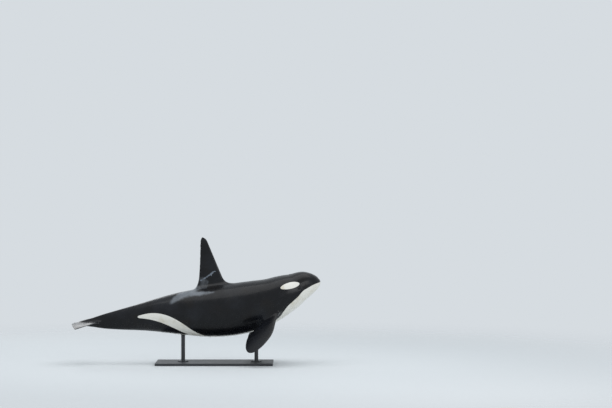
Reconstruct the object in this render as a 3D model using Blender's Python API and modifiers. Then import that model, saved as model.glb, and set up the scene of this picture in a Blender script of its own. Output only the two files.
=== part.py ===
"""An adult male orca at life size, head lifted to breathe, on a plain two-rod display stand.

Metres, +Z up, nose towards +X. The origin is on the floor, under the middle of the stand's base.
The animal is modelled straight, as a loft of rings behind the snout, with its fins grown out of patches
of that skin. The spine is then pitched as in the photograph, and thin cuts part it into the named pieces.
"""

import math

import bmesh
import bpy
import numpy as np
from mathutils import Matrix, Vector

# Body, from the tip of the snout to the notch between the flukes
LENGTH = 6.40
AXIS_HEIGHT = 1.377  # of the spine over the floor, at the dorsal fin
FIN_STATION_X = 0.07  # where the dorsal fin's station stands, ahead of the stand's middle

# Landmarks of the straight body as shares of LENGTH: distance behind the snout, back line, belly line,
# half width, and fullness of the section, which is 2 for an ellipse and less for a keeled one
LANDMARKS = {
    "snout": (0.000, -0.003, -0.003, 0.000, 2.10),
    "lips": (0.010, 0.0215, -0.0205, 0.024, 2.20),
    "beak": (0.030, 0.0400, -0.0345, 0.040, 2.20),
    "forehead": (0.060, 0.0555, -0.0500, 0.054, 2.15),
    "eyes": (0.088, 0.0585, -0.0625, 0.066, 2.10),
    "blowhole": (0.106, 0.0585, -0.071, 0.073, 2.10),
    "nape": (0.136, 0.0655, -0.081, 0.082, 2.10),
    "neck": (0.165, 0.0710, -0.0886, 0.0869, 2.10),
    "shoulders": (0.195, 0.0750, -0.095, 0.090, 2.10),
    "chest": (0.260, 0.088, -0.105, 0.0945, 2.05),
    "deepest": (0.345, 0.0980, -0.1095, 0.0955, 2.00),
    "navel": (0.460, 0.0980, -0.1035, 0.089, 2.00),
    "vent": (0.600, 0.0815, -0.080, 0.070, 1.95),
    "stock": (0.740, 0.056, -0.051, 0.042, 1.80),
    "keel": (0.850, 0.038, -0.033, 0.021, 1.75),
    "fluke_root": (0.910, 0.026, -0.023, 0.014, 1.90),
    "fluke_middle": (0.960, 0.013, -0.012, 0.014, 2.00),
    "fluke_notch": (1.000, 0.0035, -0.0035, 0.014, 2.00),
}
PLACE, BACK, BELLY, HALF_WIDTH, FULLNESS = range(5)

# Pitch of the spine, nose up, in degrees at shares of LENGTH: the head is lifted clear of the water
PITCH = (
    (0.00, 14.0),
    (0.10, 18.0),
    (0.18, 22.0),
    (0.28, 16.5),
    (0.38, 9.0),
    (0.50, 5.0),
    (0.78, 7.0),
    (1.00, 1.0),
)

# Rings of the loft: the share of LENGTH at which each run ends, and its number of rings
FLIPPER_ROOT = (0.183, 0.265)
DORSAL_ROOT = (0.340, 0.522)
FLUKE_ROOT = 0.895
RING_RUNS = (
    (FLIPPER_ROOT[0], 14),
    (FLIPPER_ROOT[1], 6),
    (DORSAL_ROOT[0], 4),
    (DORSAL_ROOT[1], 9),
    (FLUKE_ROOT, 12),
    (1.0, 12),
)
HALF_SIDES = 20  # faces from the middle of the back round to the middle of the belly
DORSAL_SIDES = (0, 2)
FLIPPER_SIDES = (13, 15)
CORNER_PULL = 0.4  # of a face: how far the corners of a fin's patch are drawn in

# Dorsal fin, in a frame that stands square on the spine at its station
FIN_STATION = 0.43
FIN_HEIGHT = 1.260  # tip over the back line at the station
FIN_CHORD = 0.728
FIN_REAR_X = -0.448  # the rear edge at the root, from the station
FIN_REAR_LEAN, FIN_LEAN_POWER = 0.24, 0.68  # the tip's rear edge ahead of the root's, as in an old male
FIN_FRONT_SLOPE = 0.36  # the front edge at the tip is this far behind the front edge at the root
FIN_THICKNESS = 0.135
FIN_TAPER = 0.72  # of the thickness, from root to tip
FIN_TIP, FIN_TIP_MIDDLE = 0.93, 0.42  # where the tip's rounding starts, and its middle along the chord
FIN_CROWN = 0.012  # how far the tip's middle stands over its ends
FIN_STATIONS = (0.17, 0.30, 0.44, 0.58, 0.70, 0.80, 0.88, 0.94, 0.98, 1.0)  # from the top of the fairing
EDGE_THICKNESS = 0.012  # of the rear edges of the dorsal fin and the flippers
TIP_BLUNT = 0.28  # of a fin's chord or thickness, left at its very tip

# Flipper
FLIPPER_SPAN = 1.28
FLIPPER_CHORD = 0.74
FLIPPER_NECK = 0.45  # of the chord, at the root
FLIPPER_WIDE, FLIPPER_TIP = 0.62, 0.40  # shares of the span where its neck ends and its tip starts
FLIPPER_BLUNT = 0.12  # of the chord, left at the very tip
FLIPPER_AXIS, FLIPPER_RAKE = 0.47, 0.05  # its axis along the chord, and how far the tip trails it
FLIPPER_THICKNESS, FLIPPER_TAPER = 0.115, 0.70
FLIPPER_THIN = 0.62  # share of the span from which the thickness rounds off
FLIPPER_SWEEP = 38.0  # degrees back
FLIPPER_DROOP = 42.0  # degrees down
FLIPPER_TWIST = 12.0  # degrees, front edge down
FLIPPER_STATIONS = (0.16, 0.26, 0.36, 0.46, 0.55, 0.64, 0.73, 0.81, 0.88, 0.94, 0.98, 1.0)
FLIPPER_SKEW = 0.62  # slope over the chord by which the sections at the root lean to lie along the skin

# Flukes: both are one with the tail, whose rings widen and sweep back into them
FLUKE_HALF_SPAN = 0.93
FLUKE_SWEEP = 0.60  # the tip behind the root's front edge
FLUKE_FULLNESS = 1.7  # of the front edge's curve
FLUKE_CORNER = (0.11, 0.06)  # the rounding between the tail's side and the front edge: length, width
FLUKE_LOBE, FLUKE_LOBE_POWER = 0.080, 0.55  # how far the rear edge stands behind the notch beside it
FLUKE_THICKNESS, FLUKE_TAPER = 0.090, 0.75
FLUKE_EDGE = 0.006  # thickness of the rear edge
FLUKE_CURL = 0.10  # the tips droop by this
FLUKE_RIDGE = 0.075  # half width of the tail's ridge where it runs out on the flukes
FLUKE_MERGE = 0.30  # behind their root, over which the tail's round section turns into that ridge
FLUKE_FADE = 0.14  # ahead of the rear edge, over which the ridge runs out

# Head details: places behind the snout and levels over the spine are shares of LENGTH
MOUTH = (
    (-0.010, -0.003),
    (0.000, -0.003),
    (0.025, -0.0045),
    (0.050, -0.0095),
    (0.070, -0.0135),
    (0.080, -0.0125),
)
THROAT_CUT = (0.088, -0.100)  # where the lower jaw's rear cut leaves the throat
CHIN = 0.04  # a place under the lower jaw, by which it is told from the rest of the head
EYE_STATION, EYE_LEVEL = 0.089, 0.001
EYE_RADIUS = 0.028
EYE_DEPTH = 0.020  # of its centre under the skin
EYE_SEGMENTS, EYE_RINGS = 16, 10

# Cuts between pieces
GAP = 0.0004
CROSS_CUTS = {"neck": 0.176, "chest": 0.318, "stock": 0.610, "flukes": 0.880}  # shares of LENGTH
RIBBON_REACH = 0.7  # of the mouth's cut, to either side
DORSAL_CUT_HEIGHT = 0.20  # over the back line, at the top of the fairing
FLIPPER_CUT_HEIGHT = 0.10  # over the skin at the middle of its root

# Each piece of flesh, and the side of each cut on which it lies
PIECES = {
    "head": {"neck": 1},
    "chest": {"neck": -1, "chest": 1, "right": -1, "left": -1},
    "trunk": {"chest": -1, "stock": 1, "dorsal": -1, "right": -1, "left": -1},
    "tail_stock": {"stock": -1, "flukes": 1},
    "flukes": {"flukes": -1},
    "dorsal_fin": {"chest": -1, "stock": 1, "dorsal": 1},
    "flipper_right": {"right": 1},
    "flipper_left": {"left": 1},
}

# Display stand
BASE_LENGTH, BASE_WIDTH, BASE_THICKNESS = 3.00, 1.30, 0.060
BASE_BEVEL = 0.008
ROD_RADIUS = 0.050
ROD_SEGMENTS = 32
FOOT_RADIUS, FOOT_THICKNESS = 0.140, 0.020
FOOT_FILLET, FOOT_EDGE = 0.012, 0.004  # where the rod meets its foot, and the foot's rim
ROD_STATIONS = (0.300, 0.575)
ROD_DEPTH = 0.12  # of each rod's end in the body
SOCKET_REACH = 0.6  # of the socket's cutter below the rod's end
CLEARANCE = 0.0003

MATERIALS = {
    "black_skin": ((0.016, 0.017, 0.021), 0.28, 0.0),
    "white_skin": ((0.72, 0.70, 0.66), 0.32, 0.0),
    "eye": ((0.030, 0.018, 0.012), 0.06, 0.0),
    "stand_steel": ((0.11, 0.115, 0.12), 0.42, 0.6),
}


def smooth_curve(knots):
    """A smooth function through (place, value) knots: cubic, with slopes from the neighbours."""
    places = [k[0] for k in knots]
    values = [k[1] for k in knots]
    steps = [b - a for a, b in zip(places, places[1:])]
    rises = [(b - a) / h for a, b, h in zip(values, values[1:], steps)]
    slopes = [rises[0]]
    for i in range(1, len(rises)):
        slopes.append((rises[i - 1] * steps[i] + rises[i] * steps[i - 1]) / (steps[i - 1] + steps[i]))
    slopes.append(rises[-1])

    def at(place):
        i = max(0, min(len(steps) - 1, sum(p <= place for p in places) - 1))
        h = steps[i]
        t = max(0.0, min(1.0, (place - places[i]) / h))
        a, b = t * t * (3 - 2 * t), t * (1 - t) * h
        return values[i] * (1 - a) + values[i + 1] * a + b * ((1 - t) * slopes[i] - t * slopes[i + 1])

    return at


# The profiles are read against the square root of the distance behind the snout, which rounds the snout.
PROFILES = {
    column: smooth_curve([(math.sqrt(row[PLACE]), row[column]) for row in LANDMARKS.values()])
    for column in (BACK, BELLY, HALF_WIDTH, FULLNESS)
}
pitch_at = smooth_curve(PITCH)


def profile(column, share):
    """A profile of the straight body at a share of its length, in metres, or the section's fullness."""
    value = PROFILES[column](math.sqrt(max(0.0, share)))
    return value if column == FULLNESS else value * LENGTH


def skin_frame(share, angle):
    """A frame on the posed skin of the right side: X forward along it, Z out of it."""
    here = skin_point(share, angle)
    ahead = (skin_point(share - 0.01, angle) - here).normalized()
    across = ahead.cross(skin_point(share, angle - 0.05) - here).normalized()
    out = across if across.y < 0 else -across
    return Matrix.Translation(here) @ Matrix((ahead, out.cross(ahead), out)).transposed().to_4x4()


def smooth_step(value):
    """Rises from 0 to 1 with level ends."""
    value = max(0.0, min(1.0, value))
    return value * value * (3 - 2 * value)


def spine_points(steps=400):
    """Points along the pitched spine from the snout back, in its own plane, with the fin's station placed."""
    length = LENGTH / steps
    points = [Vector((0.0, 0.0, 0.0))]
    for i in range(steps):
        pitch = math.radians(pitch_at((i + 0.5) / steps))
        points.append(points[-1] - Vector((math.cos(pitch), 0.0, math.sin(pitch))) * length)
    shift = Vector((FIN_STATION_X, 0.0, AXIS_HEIGHT)) - points[round(FIN_STATION * steps)]
    return [p + shift for p in points]


SPINE = spine_points()


def spine_frame(share):
    """The matrix that carries the straight body's frame, centred on its spine at a share, to the pose."""
    place = max(0.0, min(1.0, share)) * (len(SPINE) - 1)
    i = min(int(place), len(SPINE) - 2)
    centre = SPINE[i].lerp(SPINE[i + 1], place - i)
    return Matrix.Translation(centre) @ Matrix.Rotation(-math.radians(pitch_at(share)), 4, "Y")


def section_point(share, angle):
    """A point of the straight body's section, from its spine, at an angle from the middle of the back."""
    back, belly = profile(BACK, share), profile(BELLY, share)
    power = 2 / profile(FULLNESS, share)
    across, up = math.sin(angle), math.cos(angle)
    middle = (back + belly) / 2
    y = -profile(HALF_WIDTH, share) * abs(across) ** power
    z = middle + math.copysign((back - belly) / 2 * abs(up) ** power, up)
    return Vector((0.0, y, z))


def skin_point(share, angle):
    """A point of the posed skin. Negative Y is the animal's right side."""
    if share > FLUKE_ROOT + 1e-6:
        return fluke_point(share, angle)
    return spine_frame(share) @ section_point(share, angle)


def ring_shares():
    """Shares of LENGTH at which the loft has rings, finest where the snout turns."""
    end, count = RING_RUNS[0]
    shares = [end * (i / count) ** 2 for i in range(1, count + 1)]
    for end, count in RING_RUNS[1:]:
        start = shares[-1]
        shares += [start + (end - start) * (i + 1) / count for i in range(count)]
    return shares


def aerofoil(place, thickness, edge=EDGE_THICKNESS):
    """Half thickness of a fin's section at a place along its chord, 0 at the front edge and 1 at the rear."""
    body = 1.45 * math.sqrt(place) - 0.63 * place - 1.76 * place**2 + 1.42 * place**3 - 0.48 * place**4
    return thickness / 2 * max(0.0, body) + edge / 2 * place * math.sqrt(1 - place)


def tip_round(share, start, blunt=TIP_BLUNT):
    """Factor that rounds a fin off from start to its tip, where a blunt end is left."""
    return 1.0 if share < start else math.sqrt(1 - (1 - blunt**2) * ((share - start) / (1 - start)) ** 2)


def dorsal_section(share, place):
    """A point of the dorsal fin's right half, in its own frame: share up the fin, place along the chord."""
    front = FIN_REAR_X + FIN_CHORD - FIN_FRONT_SLOPE * share
    rear = FIN_REAR_X + FIN_REAR_LEAN * share**FIN_LEAN_POWER
    round_off = tip_round(share, FIN_TIP)
    middle = rear + (front - rear) * FIN_TIP_MIDDLE
    x = front + (rear - front) * place
    x = middle + (x - middle) * round_off
    return Vector((x, -aerofoil(place, FIN_THICKNESS * (1 - FIN_TAPER * share) * round_off), 0.0))


def flipper_section(share, place):
    """A point of a flipper's upper face, in its own frame: share out along it, place along the chord."""
    widen = FLIPPER_NECK + (1 - FLIPPER_NECK) * smooth_step(share / FLIPPER_WIDE)
    chord = FLIPPER_CHORD * widen * tip_round(share, FLIPPER_TIP, FLIPPER_BLUNT)
    x = chord * (FLIPPER_AXIS - place) - FLIPPER_RAKE * share
    thickness = FLIPPER_THICKNESS * (1 - FLIPPER_TAPER * share) * tip_round(share, FLIPPER_THIN)
    return Vector((x, aerofoil(place, thickness), 0.0))


def fluke_front(y):
    """How far behind the flukes' root their front edge is, at a distance from the middle."""
    out = max(0.0, y - profile(HALF_WIDTH, FLUKE_ROOT))
    length, width = FLUKE_CORNER
    return length * (1 - math.exp(-out / width)) + FLUKE_SWEEP * (out / FLUKE_HALF_SPAN) ** FLUKE_FULLNESS


def fluke_rear(y):
    """How far behind the flukes' root their rear edge is, at a distance from the middle."""
    notch, tip = (1.0 - FLUKE_ROOT) * LENGTH, fluke_front(FLUKE_HALF_SPAN)
    share = y / FLUKE_HALF_SPAN
    return notch + (tip - notch) * share**2 + FLUKE_LOBE * math.sin(math.pi * share**FLUKE_LOBE_POWER)


def fluke_point(share, angle):
    """A point of the posed flukes: their rings fan out from the tail's last to one along the rear edge."""
    fan = (share - FLUKE_ROOT) / (1.0 - FLUKE_ROOT)
    across, up = math.sin(angle), math.cos(angle)
    power = 2 / profile(FULLNESS, share)
    run = min(1.0, abs(across) ** power)
    y = run * (profile(HALF_WIDTH, FLUKE_ROOT) * (1 - fan) + FLUKE_HALF_SPAN * fan)
    chord = 1.0 if share >= 1.0 else fan * (1 - run**2) / (1 - fan * run**2)
    front, rear = fluke_front(y), fluke_rear(y)
    behind = front + (rear - front) * chord

    blade = aerofoil(chord, FLUKE_THICKNESS * (1 - FLUKE_TAPER * y / FLUKE_HALF_SPAN), 0.0)
    place = min(1.0, FLUKE_ROOT + behind / LENGTH)
    back, belly = profile(BACK, place), profile(BELLY, place)
    fullness = profile(FULLNESS, FLUKE_ROOT)
    across = min(1.0, y / profile(HALF_WIDTH, FLUKE_ROOT))
    stock = (1 - across**fullness) ** (1 / fullness)
    low_ridge = math.exp(-((y / FLUKE_RIDGE) ** 2)) * math.sqrt(min(1.0, max(0.0, behind - front) / FLUKE_RIDGE))
    merge = smooth_step(behind / FLUKE_MERGE)
    ridge = (back - belly) / 2 * (stock * (1 - merge) + low_ridge * merge)
    ridge *= smooth_step((rear - behind) / FLUKE_FADE)
    high = math.hypot(blade + FLUKE_EDGE / 2 * chord, ridge)
    droop = FLUKE_CURL * (y / FLUKE_HALF_SPAN) ** 2
    beyond = behind - (place - FLUKE_ROOT) * LENGTH
    return spine_frame(place) @ Vector((-beyond, -y, (back + belly) / 2 + math.copysign(high, up) - droop))


def dorsal_frame():
    """The dorsal fin's frame: X forward, Z up the fin, on the back line at its station."""
    return spine_frame(FIN_STATION) @ Matrix.Translation((0.0, 0.0, profile(BACK, FIN_STATION)))


def flipper_root():
    """The share of LENGTH and the angle at the middle of a flipper's root."""
    return sum(FLIPPER_ROOT) / 2, math.pi * sum(FLIPPER_SIDES) / 2 / HALF_SIDES


def flipper_frame():
    """The right flipper's frame: X forward along the chord, Y out of its upper face, Z out along it."""
    sweep, droop = math.radians(FLIPPER_SWEEP), math.radians(FLIPPER_DROOP)
    out = Vector((-math.sin(sweep), -math.cos(sweep) * math.cos(droop), -math.cos(sweep) * math.sin(droop)))
    forward = Vector((1.0, 0.0, 0.0))
    chord = (forward - out * forward.dot(out)).normalized()
    up = out.cross(chord)
    axes = Matrix((chord, up, out)).transposed().to_4x4()
    twist = Matrix.Rotation(math.radians(FLIPPER_TWIST), 4, "Z")
    share, angle = flipper_root()
    return spine_frame(share) @ Matrix.Translation(section_point(share, angle)) @ axes @ twist


def fairings(roots, feet, tops, steps):
    """The loops of a fin's fairing: each point swings from its root over its foot to its place on the fin.

    The feet are first set level with the skin, by a plane through the roots.
    """
    plane = np.linalg.lstsq([(1.0, p.x, p.y) for p in roots], [p.z for p in roots], rcond=None)[0]
    for foot in feet:
        foot.z = float(plane @ (1.0, foot.x, foot.y))
    for step in range(1, steps + 1):
        u = step / steps
        yield [a * (1 - u) ** 2 + b * 2 * u * (1 - u) + c * u * u for a, b, c in zip(roots, feet, tops)]


class Skin:
    """The right half of the animal's skin as one open mesh, from the middle plane outwards."""

    def __init__(self):
        self.mesh = bmesh.new()
        self.shares = ring_shares()
        self.grid = {}
        self.build_body()
        self.grow_dorsal()
        self.grow_flipper()

    def ring_at(self, share):
        """The number of the ring nearest to a share of LENGTH."""
        return min(range(len(self.shares)), key=lambda i: abs(self.shares[i] - share))

    def patch(self, root, sides):
        """The grid ranges that a fin's root takes: first ring, last ring, first side, last side."""
        return self.ring_at(root[0]), self.ring_at(root[1]), sides[0], sides[1]

    def patches(self):
        """The patches of all the fins."""
        return (
            self.patch(DORSAL_ROOT, DORSAL_SIDES),
            self.patch(FLIPPER_ROOT, FLIPPER_SIDES),
        )

    def place(self, ring, side):
        """The share and angle of a grid vertex. The corners of a fin's patch are drawn in."""
        share, turn = self.shares[ring], float(side)
        for first, last, top, low in self.patches():
            if ring in (first, last) and side in (top, low) and side:
                pull = CORNER_PULL * (self.shares[first + 1] - self.shares[first])
                share += pull if ring == first else -pull
                turn += CORNER_PULL if side == top else -CORNER_PULL
        return share, math.pi * turn / HALF_SIDES

    def build_body(self):
        """The body's faces, open under each fin, with a fan at the snout and a seam behind the flukes."""
        patches = self.patches()
        for ring in range(len(self.shares)):
            for side in range(HALF_SIDES + 1):
                if not any(a < ring < b and (c < side < d or c == side == 0) for a, b, c, d in patches):
                    self.grid[ring, side] = self.mesh.verts.new(skin_point(*self.place(ring, side)))
        for ring in range(len(self.shares) - 1):
            for side in range(HALF_SIDES):
                if any(a <= ring < b and c <= side < d for a, b, c, d in patches):
                    continue
                corners = (ring, side), (ring, side + 1), (ring + 1, side + 1), (ring + 1, side)
                self.mesh.faces.new([self.grid[c] for c in corners])
        snout = self.mesh.verts.new(skin_point(0.0, 0.0))
        for side in range(HALF_SIDES):
            self.mesh.faces.new((snout, self.grid[0, side + 1], self.grid[0, side]))
        rear = [self.grid[len(self.shares) - 1, side] for side in range(HALF_SIDES + 1)]
        self.seam(rear[: HALF_SIDES // 2 + 1], rear[: HALF_SIDES // 2 - 1 : -1])

    def seam(self, upper, lower):
        """Closes the slit between two rows of vertices that meet at an end."""
        for (a, b), (c, d) in zip(zip(upper, upper[1:]), zip(lower, lower[1:])):
            self.mesh.faces.new(dict.fromkeys((a, b, d, c)))

    def loft(self, loop, frame, section_of, shares, steps):
        """Grows a fin from its root loop through a fairing and on through the shares, to its last loop.

        section_of(i, share) gives the fin's point for the loop's vertex i at a share of its height.
        """
        to_frame = frame.inverted()
        count = range(len(loop))
        roots = [to_frame @ v.co for v in loop]
        feet, tops = ([section_of(i, share) for i in count] for share in (0.0, shares[0]))
        rings = [*fairings(roots, feet, tops, steps)]
        rings += [[section_of(i, share) for i in count] for share in shares[1:]]
        closed = any(abs(v.co.y) > 1e-6 for v in (loop[0], loop[-1]))
        for points in rings:
            made = [self.mesh.verts.new(frame @ p) for p in points]
            for i in count if closed else count[:-1]:
                j = (i + 1) % len(loop)
                self.mesh.faces.new((loop[i], loop[j], made[j], made[i]))
            loop = made
        return loop

    def grow_dorsal(self):
        """The dorsal fin's right half, from the strip of skin along the back."""
        first, last, _, side = self.patch(DORSAL_ROOT, DORSAL_SIDES)
        route = [(first, j) for j in range(side)] + [(i, side) for i in range(first, last + 1)]
        route += [(last, j) for j in range(side - 1, -1, -1)]
        loop = [self.grid[c] for c in reversed(route)]
        top = len(loop) - 1

        def section_of(i, share):
            place = (1 - math.cos(math.pi * (top - i) / top)) / 2
            point = dorsal_section(share, place)
            crown = FIN_CROWN * math.sin(math.pi * place) if share == FIN_STATIONS[-1] else 0.0
            return point + Vector((0.0, 0.0, FIN_HEIGHT * share + crown))

        self.close_half(self.loft(loop, dorsal_frame(), section_of, FIN_STATIONS, steps=5))

    def close_half(self, loop):
        """Closes the dorsal fin's tip down to the middle plane with a row of faces."""
        middle = [self.mesh.verts.new((v.co.x, 0.0, v.co.z)) for v in loop[1:-1]]
        for v in (loop[0], loop[-1]):
            v.co.y = 0.0
        inner = [loop[0], *middle, loop[-1]]
        for i in range(len(loop) - 1):
            corners = list(dict.fromkeys((loop[i], loop[i + 1], inner[i + 1], inner[i])))
            if len(corners) > 2:
                self.mesh.faces.new(corners)

    def limb_loop(self, root, sides):
        """A root loop that runs round from its front middle, over the top and back under, and its counts."""
        first, last, top, low = self.patch(root, sides)
        middle = (top + low) // 2
        route = [(first, j) for j in range(middle, top, -1)] + [(i, top) for i in range(first, last)]
        route += [(last, j) for j in range(top, low)] + [(i, low) for i in range(last, first, -1)]
        route += [(first, j) for j in range(low, middle, -1)]
        return [self.grid[c] for c in route], last - first, middle - top

    def grow_flipper(self):
        """The right flipper: upper and lower faces from one section, closed by a seam at the tip."""
        loop, along, deep = self.limb_loop(FLIPPER_ROOT, FLIPPER_SIDES)
        half = along + 2 * deep

        def section_of(i, share):
            upper = i <= half
            step = i if upper else 2 * half - i
            point = flipper_section(share, (1 - math.cos(math.pi * step / half)) / 2)
            out = FLIPPER_SPAN * share - FLIPPER_SKEW * point.x * (1 - share) ** 2
            return Vector((point.x, point.y if upper else -point.y, out))

        end = self.loft(loop, flipper_frame(), section_of, FLIPPER_STATIONS, steps=4)
        self.seam(end[: half + 1], [end[0], *reversed(end[half:])])
        self.relax(loop, rings=3, turns=7)

    def relax(self, loop, rings, turns):
        """Evens out the skin for a few rings of vertices on either side of a fin's root."""
        near = set(loop)
        for _ in range(rings):
            near |= {v for known in tuple(near) for e in known.link_edges for v in e.verts}
        near = [v for v in self.mesh.verts if v in near]
        for _ in range(turns):
            bmesh.ops.smooth_vert(
                self.mesh, verts=near, factor=0.5, use_axis_x=True, use_axis_y=True, use_axis_z=True
            )


def new_object(name, mesh, collection):
    """A mesh object in a collection."""
    made = bpy.data.objects.new(name, mesh)
    collection.objects.link(made)
    return made


def baked(obj, name, collection):
    """A plain mesh object from another with its modifiers, which is removed."""
    bpy.context.view_layer.update()
    mesh = bpy.data.meshes.new_from_object(obj.evaluated_get(bpy.context.evaluated_depsgraph_get()))
    mesh.transform(obj.matrix_world)
    bpy.data.objects.remove(obj)
    return new_object(name, mesh, collection)


def whole_animal(collection):
    """Both halves of the skin as one closed body."""
    mesh = bpy.data.meshes.new("animal")
    half = Skin().mesh
    for vertex in half.verts:
        if abs(vertex.co.y) < 1e-6:
            vertex.co.y = 0.0
    bmesh.ops.recalc_face_normals(half, faces=half.faces)
    half.to_mesh(mesh)
    half.free()
    animal = new_object("animal_half", mesh, collection)
    mirror = animal.modifiers.new("Mirror", "MIRROR")
    mirror.use_axis = (False, True, False)
    mirror.merge_threshold = 0.0001
    return baked(animal, "animal", collection)


def cut_planes():
    """The cuts between pieces, each as a point on it and the direction that it faces."""
    frames = {name: spine_frame(share) for name, share in CROSS_CUTS.items()}
    planes = {name: (frame.translation, frame.col[0].xyz) for name, frame in frames.items()}
    fin = dorsal_frame()
    planes["dorsal"] = fin @ Vector((0.0, 0.0, DORSAL_CUT_HEIGHT)), fin.col[2].xyz
    root = skin_frame(*flipper_root())
    point, out = root @ Vector((0.0, 0.0, FLIPPER_CUT_HEIGHT)), root.col[2].xyz
    planes["right"] = point, out
    planes["left"] = Vector((point.x, -point.y, point.z)), Vector((out.x, -out.y, out.z))
    return planes


def piece(name, body, cuts, planes, collection):
    """The part of the body that lies on the given side of each cut, closed there, as a named object.

    cuts maps each plane's name to 1 for the side that it faces and -1 for the other.
    """
    work = bmesh.new()
    work.from_mesh(body.data)
    for cut, side in cuts.items():
        point, facing = planes[cut]
        whole = [*work.verts, *work.edges, *work.faces]
        made = bmesh.ops.bisect_plane(
            work,
            geom=whole,
            dist=1e-6,
            plane_co=point + facing * side * GAP / 2,
            plane_no=facing * side,
            clear_inner=True,
        )
        rim = [e for e in made["geom_cut"] if isinstance(e, bmesh.types.BMEdge)]
        bmesh.ops.triangle_fill(work, use_beauty=True, edges=rim)
    bmesh.ops.recalc_face_normals(work, faces=work.faces)
    mesh = bpy.data.meshes.new(name)
    work.to_mesh(mesh)
    work.free()
    return new_object(name, mesh, collection)


def mouth_ribbon(collection):
    """The cut that frees the lower jaw: along the mouth line, then down behind the corner of the mouth."""
    mesh = bpy.data.meshes.new("mouth")
    work = bmesh.new()
    rows = []
    for share, level in (*MOUTH, THROAT_CUT):
        frame = spine_frame(max(0.0, share))
        ahead = max(0.0, -share) * LENGTH
        ends = (Vector((ahead, y, level * LENGTH)) for y in (-RIBBON_REACH, RIBBON_REACH))
        rows.append([work.verts.new(frame @ end) for end in ends])
    for (a, b), (c, d) in zip(rows, rows[1:]):
        work.faces.new((a, b, d, c))
    work.to_mesh(mesh)
    work.free()
    ribbon = new_object("mouth_ribbon", mesh, collection)
    wall = ribbon.modifiers.new("Solidify", "SOLIDIFY")
    wall.thickness = GAP
    wall.offset = 0.0
    return baked(ribbon, "cut_mouth", collection)


def eye_centre():
    """The right eye's centre, sunk under the skin of the cheek."""
    back, belly = profile(BACK, EYE_STATION), profile(BELLY, EYE_STATION)
    up = (EYE_LEVEL * LENGTH - (back + belly) / 2) / ((back - belly) / 2)
    angle = math.acos(math.copysign(abs(up) ** (profile(FULLNESS, EYE_STATION) / 2), up))
    return skin_frame(EYE_STATION, angle) @ Vector((0.0, 0.0, -EYE_DEPTH))


def ball(name, centre, radius, collection):
    """A faceted sphere."""
    mesh = bpy.data.meshes.new(name)
    work = bmesh.new()
    bmesh.ops.create_uvsphere(work, u_segments=EYE_SEGMENTS, v_segments=EYE_RINGS, radius=radius)
    work.to_mesh(mesh)
    work.free()
    mesh.transform(Matrix.Translation(centre))
    return new_object(name, mesh, collection)


def rod_top(share):
    """Where a rod's end lies in the body: straight over its foot, sunk by the depth."""
    belly = skin_point(share, math.pi)
    return belly + Vector((0.0, 0.0, ROD_DEPTH))


def turned(name, outline, centre, collection):
    """A solid turned about a vertical axis from an outline of (radius, height) points, top first."""
    mesh = bpy.data.meshes.new(name)
    mesh.from_pydata([(r, 0.0, z) for r, z in outline], [(i, i + 1) for i in range(len(outline) - 1)], [])
    made = new_object(name, mesh, collection)
    screw = made.modifiers.new("Screw", "SCREW")
    screw.steps = screw.render_steps = ROD_SEGMENTS
    screw.use_merge_vertices = True
    screw.merge_threshold = 0.0001
    made.location = centre
    return made


def rods(collection, cutter_collection):
    """The stand's two rods, each with a round foot, and the sockets that they need in the body."""
    made, sockets = [], []
    for name, share in zip(("stand_rod_front", "stand_rod_rear"), ROD_STATIONS):
        top = rod_top(share)
        low = BASE_THICKNESS + CLEARANCE
        height = top.z - low
        outline = [
            (0.0, height),
            (ROD_RADIUS, height),
            (ROD_RADIUS, FOOT_THICKNESS + FOOT_FILLET),
            (ROD_RADIUS + FOOT_FILLET, FOOT_THICKNESS),
            (FOOT_RADIUS - FOOT_EDGE, FOOT_THICKNESS),
            (FOOT_RADIUS, FOOT_THICKNESS - FOOT_EDGE),
            (FOOT_RADIUS, 0.0),
            (0.0, 0.0),
        ]
        made.append(turned(name, outline, (top.x, 0.0, low), collection))
        wide = ROD_RADIUS + CLEARANCE
        hole = [(0.0, CLEARANCE), (wide, CLEARANCE), (wide, -SOCKET_REACH), (0.0, -SOCKET_REACH)]
        sockets.append(baked(turned("socket", hole, top, cutter_collection), "cut_socket", cutter_collection))
    return made, sockets


def stand_base(collection):
    """The flat base plate."""
    bpy.ops.mesh.primitive_cube_add(size=1.0)
    base = bpy.context.object
    base.name = "stand_base"
    base.data.transform(Matrix.Diagonal((BASE_LENGTH, BASE_WIDTH, BASE_THICKNESS, 1.0)))
    base.data.transform(Matrix.Translation((0.0, 0.0, BASE_THICKNESS / 2)))
    for owner in base.users_collection:
        owner.objects.unlink(base)
    collection.objects.link(base)
    bevel = base.modifiers.new("Bevel", "BEVEL")
    bevel.width = BASE_BEVEL
    bevel.segments = 2
    return base


def cut_away(body, tools):
    """Takes each tool out of the body, and hides the tools."""
    for tool in tools:
        tool.hide_render = True
        tool.display_type = "WIRE"
        step = body.modifiers.new("Cut", "BOOLEAN")
        step.operation = "DIFFERENCE"
        step.solver = "EXACT"
        step.object = tool


def free_jaw(head, collection):
    """Parts the cut head in two: the lower jaw, which is lower at the front, and the rest."""
    work = bmesh.new()
    work.from_mesh(head.data)
    chin = min(work.verts, key=lambda v: (v.co - skin_point(CHIN, math.pi)).length)
    jaw, edge = {chin}, [chin]
    while edge:
        linked = {v for e in edge.pop().link_edges for v in e.verts} - jaw
        jaw |= linked
        edge += linked
    jaw = {v.index for v in jaw}
    for name, dropped in (("lower_jaw", False), ("head", True)):
        part = work.copy()
        bmesh.ops.delete(part, geom=[v for v in part.verts if (v.index in jaw) == dropped], context="VERTS")
        mesh = bpy.data.meshes.new(name)
        part.to_mesh(mesh)
        part.free()
        new_object(name, mesh, collection)
    work.free()
    bpy.data.objects.remove(head)


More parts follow.
